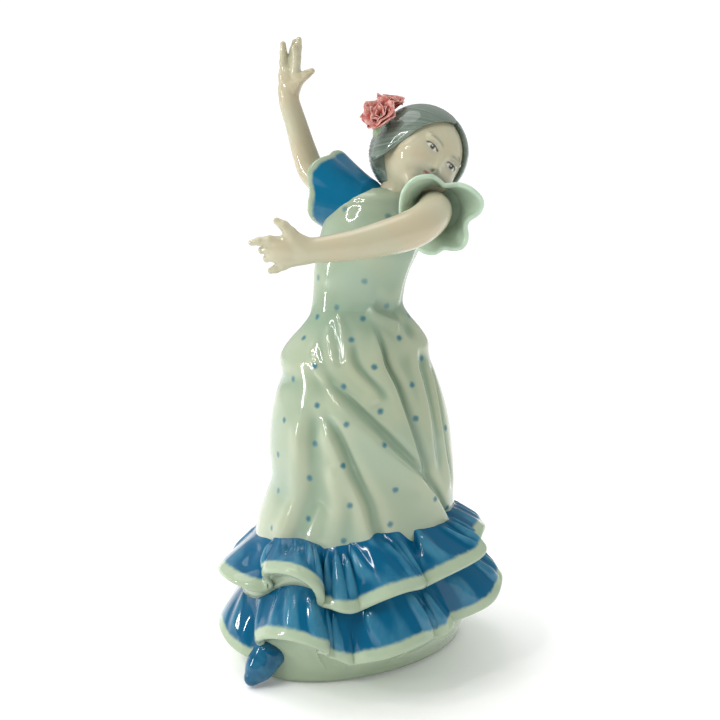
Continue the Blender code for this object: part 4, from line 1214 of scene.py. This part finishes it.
def build_hair(glaze):
    points, quads, normals = mesh_of(hair_field, (-4, -22, 165), (40, 24, 205), 0.3)
    strand = strand_of(points)
    thickness = bare_head(points)
    comb = 0.10 * np.sin(strand * 3.1 + 1.3 * np.sin(strand * 0.9)) * smoothstep(1.2, 2.6, thickness)
    add_piece("hair_cap_combed", points + normals * comb[:, None], quads, glaze, ("hair_cap",),
              normals, {"strand": strand, "hairline": smoothstep(0.0, 2.5, abs(thickness))})

    points, quads, normals = mesh_of(bun_field, (-16, 6, 158), (36, 34, 202), 0.42)
    angle, reach = around_bun(points)
    add_piece("hair_bun_coiled", points, quads, glaze, ("hair_bun",), normals,
              {"strand": np.degrees(angle) * 0.25 - reach * 8.0, "hairline": np.ones(len(points))})


# ------------------------------------------------------------------ the carnations

PETAL_THICK = 0.22       # half the thickness of a petal
PETAL_STEPS = 20         # grid of a petal, along it and across it
PETAL_SIDES = 33


def build_petal(name, node, glaze, base, axis, around, length, width, open_from, open_to, rng):
    """One hand-rolled petal: a thin frilled fan that opens away from the flower's axis."""
    axis = unit(axis)
    side = unit(np.cross(axis, (0.3, 1.0, 0.1)))
    rise = np.cross(axis, side)
    out = math.cos(around) * side + math.sin(around) * rise
    across = np.cross(axis, out)
    steps, sides = PETAL_STEPS, PETAL_SIDES
    t = np.linspace(0.0, 1.0, steps)
    lean = np.radians(open_from + (open_to - open_from) * t ** 1.2)
    heading = np.cos(lean)[:, None] * axis + np.sin(lean)[:, None] * out
    spine = np.cumsum(heading, axis=0) * (length / steps)
    facing = -np.sin(lean)[:, None] * axis + np.cos(lean)[:, None] * out
    s = np.linspace(-1.0, 1.0, sides)
    phase = rng.uniform(0, 6.28, 4)
    teeth = 0.05 * np.sin(7 * s + phase[0]) + 0.015 * np.sin(16 * s + phase[1]) - 0.30 * s ** 2
    half = width * (0.30 + 0.70 * np.sin(0.5 * np.pi * np.minimum(1.5 * t, 1.0)))
    reach = (t[:, None] ** 3) * teeth[None, :] * length
    frill = (t[:, None] ** 2) * (0.62 * np.sin(4.6 * s + phase[2]) + 0.20 * np.sin(9 * s + phase[3]))[None, :]
    cup = 0.9 * (s ** 2)[None, :] * (1 - 0.5 * t[:, None]) * width * 0.45
    middle = (np.asarray(base) + spine[:, None, :] + (half[:, None] * s[None, :])[..., None] * across
              + reach[..., None] * heading[:, None, :] + (frill - cup)[..., None] * facing[:, None, :])
    normals = unit(np.cross(np.gradient(middle, axis=1), np.gradient(middle, axis=0)))
    thick = PETAL_THICK * (1.15 - 0.55 * t)[:, None, None]
    upper, lower = middle + normals * thick, middle - normals * thick
    count = steps * sides
    points = np.concatenate([upper.reshape(-1, 3), lower.reshape(-1, 3)])
    faces = []
    for i in range(steps - 1):
        for j in range(sides - 1):
            a = i * sides + j
            faces.append((a, a + sides, a + sides + 1, a + 1))
            faces.append((a + count, a + 1 + count, a + sides + 1 + count, a + sides + count))
    rim = ([(0, j) for j in range(sides)] + [(i, sides - 1) for i in range(1, steps)]
           + [(steps - 1, j) for j in range(sides - 2, -1, -1)] + [(i, 0) for i in range(steps - 2, 0, -1)])
    rim = [i * sides + j for i, j in rim]
    for a, b in zip(rim, rim[1:] + rim[:1]):
        faces.append((a, b, b + count, a + count))
    edge = np.maximum(t[:, None], (abs(s)[None, :] ** 4) * (0.4 + 0.6 * t[:, None])).ravel()
    add_piece(name, points, faces, glaze, (node,), None, {"edge": np.tile(edge, 2)})


# name, centre, axis, scale, outer petals, inner petals
BLOOMS = [
    ("front_carnation", (7.0, -5.4, 193.6), (-0.46, -0.70, 0.54), 1.1, 6, 5),
    ("back_carnation", (10.2, 1.4, 197.6), (0.10, -0.30, 0.94), 0.85, 5, 4),
]


def build_flowers(petal_glaze, leaf_glaze):
    rng = np.random.default_rng(5)
    for name, centre, axis, scale, outer, inner in BLOOMS:
        axis = unit(axis)
        foot = np.asarray(centre) - axis * 2.2 * scale
        for k in range(outer):
            around = 2 * math.pi * (k + rng.uniform(-0.15, 0.15)) / outer
            build_petal(f"{name}_outer_frill_{k + 1}", f"{name}_outer_petal_{k + 1}", petal_glaze,
                        foot, axis, around, rng.uniform(6.0, 6.8) * scale,
                        rng.uniform(4.8, 5.6) * scale, 20, rng.uniform(74, 108), rng)
        for k in range(inner):
            around = 2 * math.pi * (k + 0.5 + rng.uniform(-0.2, 0.2)) / inner
            build_petal(f"{name}_inner_frill_{k + 1}", f"{name}_inner_petal_{k + 1}", petal_glaze,
                        foot + axis * 0.6 * scale, axis, around, rng.uniform(4.2, 4.8) * scale,
                        rng.uniform(3.4, 4.0) * scale, 6, rng.uniform(40, 66), rng)
        build_petal(f"{name}_rolled_heart", f"{name}_heart", petal_glaze, foot + axis * 0.8 * scale, axis,
                    rng.uniform(0, 6.28), 4.2 * scale, 1.7 * scale, 0, 18, rng)

        def calyx(p, foot=foot, axis=axis, scale=scale):
            cup = rod(p, foot - axis * 1.8 * scale, foot + axis * 1.2 * scale, 1.0 * scale, 1.9 * scale)
            return join(cup, ball(p, foot - axis * 2.6 * scale, 1.3 * scale), 0.6)

        side = name.split("_")[0]
        points, quads, normals = mesh_of(calyx, foot - 6.0, foot + 6.0, 0.3)
        add_piece(f"{side}_calyx_cup", points, quads, leaf_glaze, (f"{side}_calyx",), normals)

    def leaf(p):
        axes = unit([(0.9, 0.3, -0.35), (-0.3, 0.93, 0.2), (0.38, -0.08, 0.92)])
        blade = oval(p, (5.6, -7.6, 188.8), (1.4, 0.7, 2.2), axes)
        return join(blade, rod(p, (5.8, -7.0, 189.6), (6.4, -5.6, 192.4), 0.8, 0.7), 0.8)

    points, quads, normals = mesh_of(leaf, (-1, -12, 182), (11, 0, 196), 0.3)
    add_piece("carnation_leaf_blade", points, quads, leaf_glaze, ("carnation_leaf",), normals)


# ------------------------------------------------------------------ studio

MIDDLE = Vector((0.0, 0.0, 0.11))        # middle of the figurine in metres, which the lights aim at


def aim(lamp, offset):
    """Puts a lamp in the scene at an offset from the figurine, facing it."""
    lamp.location = MIDDLE + Vector(offset)
    lamp.rotation_euler = (MIDDLE - lamp.location).to_track_quat("-Z", "Y").to_euler()
    bpy.context.scene.collection.objects.link(lamp)


def add_light(name, kind, offset, energy, **settings):
    lamp = bpy.data.objects.new(name, bpy.data.lights.new(name, kind))
    for key, value in settings.items():
        setattr(lamp.data, key, value)
    lamp.data.energy = energy
    aim(lamp, offset)
    return lamp


def ring_light(name, offset, outer, inner, strength):
    """A ring-shaped softbox, which shows as an open loop in the glaze."""
    sides = 48
    points, faces = [], []
    for k in range(sides):
        a = 2 * math.pi * k / sides
        for radius in (outer, inner):
            points.append((radius * math.cos(a), radius * math.sin(a), 0.0))
        n = (k + 1) % sides
        faces.append((2 * k, 2 * k + 1, 2 * n + 1, 2 * n))
    mesh = bpy.data.meshes.new(name)
    mesh.from_pydata(points, [], faces)
    glow = Shading(name)
    glow.shader.inputs["Base Color"].default_value = (0.0, 0.0, 0.0, 1.0)
    glow.shader.inputs["Emission Color"].default_value = (1.0, 0.99, 0.97, 1.0)
    glow.shader.inputs["Emission Strength"].default_value = strength
    mesh.materials.append(glow.material)
    ring = bpy.data.objects.new(name, mesh)
    ring.visible_camera = False
    aim(ring, offset)


def build_floor(half):
    mesh = bpy.data.meshes.new("floor")
    corners = [(-half, -half, 0), (half, -half, 0), (half, half, 0), (-half, half, 0)]
    mesh.from_pydata(corners, [], [(0, 1, 2, 3)])
    floor = bpy.data.objects.new("floor", mesh)
    bpy.context.scene.collection.objects.link(floor)
    s = Shading("floor")
    s.finish(s.mix(s.patches(300, 0.4, 0.6), (0.93, 0.93, 0.93), (0.95, 0.95, 0.95)), 0.9, 0.0)
    s.shader.inputs["Specular IOR Level"].default_value = 0.1
    s.shader.inputs["Emission Color"].default_value = (1.0, 1.0, 1.0, 1.0)
    s.shader.inputs["Emission Strength"].default_value = 0.05
    mesh.materials.append(s.material)


def build_world():
    """A white room, brighter behind the figurine, darker in mirrored rays and plain white to the camera."""
    world = bpy.data.worlds.new("studio")
    bpy.context.scene.world = world
    world.use_nodes = True
    s = Nodes(world.node_tree)
    split = s.node("ShaderNodeSeparateXYZ")
    s.link(s.node("ShaderNodeTexCoord").outputs["Generated"], split.inputs[0])
    path = s.node("ShaderNodeLightPath")
    room = s.ramp(split.outputs["Y"], -0.7, 0.5, 0.42, 1.08)
    backdrop = s.sums("MAXIMUM", room, path.outputs["Is Camera Ray"])
    mirrored = s.ramp(path.outputs["Is Glossy Ray"], 0.0, 1.0, 1.0, 0.45)
    background = s.tree.nodes["Background"]
    background.inputs["Color"].default_value = (1.0, 1.0, 1.0, 1.0)
    s.link(s.sums("MULTIPLY", backdrop, mirrored), background.inputs["Strength"])


def build_studio():
    build_floor(3.0)
    build_world()
    ring_light("key", (-0.62, -0.50, 0.78), 0.20, 0.170, 46.0)
    add_light("strip", "AREA", (-0.95, -0.22, 0.12), 2.6, shape="RECTANGLE", size=0.045, size_y=0.32)
    fill = add_light("fill", "AREA", (1.05, -0.65, 0.25), 3.2, shape="DISK", size=0.7)
    fill.visible_glossy = False
    add_light("top", "SUN", (-0.45, 0.30, 1.0), 1.0, angle=math.radians(45))


def build_camera():
    lens = bpy.data.cameras.new("camera")
    lens.lens = 52.5
    lens.sensor_width = 36.0
    lens.clip_start = 0.01
    camera = bpy.data.objects.new("camera", lens)
    camera.location = (0.0, -0.3605, 0.1932)
    camera.rotation_euler = (math.radians(77), 0.0, 0.0)
    bpy.context.scene.collection.objects.link(camera)
    bpy.context.scene.camera = camera


# ------------------------------------------------------------------ the whole

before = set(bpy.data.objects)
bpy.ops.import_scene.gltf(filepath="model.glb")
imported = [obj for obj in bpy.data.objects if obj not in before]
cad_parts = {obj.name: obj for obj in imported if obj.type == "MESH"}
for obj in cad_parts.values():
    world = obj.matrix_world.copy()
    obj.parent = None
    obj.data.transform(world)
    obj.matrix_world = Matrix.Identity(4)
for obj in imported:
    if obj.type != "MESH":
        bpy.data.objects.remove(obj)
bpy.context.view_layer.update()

build_dress(dress_material("skirt_glaze", 0.12, 0.92), dress_material("bodice_glaze", 0.32, 0.66))
build_hem(hem_material())
build_flounces(flounce_material("blue_glaze"))
# the left sleeve's lighter green is painted light in its shaded inside
build_sleeves(flounce_material("right_sleeve_glaze", SLEEVE_BLUE),
              flounce_material("left_sleeve_glaze", SLEEVE_BLUE, SLEEVE_GREEN_PAINTED_LIGHT))
skin = skin_material("skin_glaze")
build_limbs(skin)
build_shoe(shoe_material())
build_head(skin_material("face_glaze", True))
build_hair(hair_material())
build_flowers(petal_material(), leaf_material())
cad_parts["base_disc"].data.materials.clear()
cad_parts["base_disc"].data.materials.append(bisque_material())
build_studio()
build_camera()
bpy.context.scene.view_settings.view_transform = "Standard"
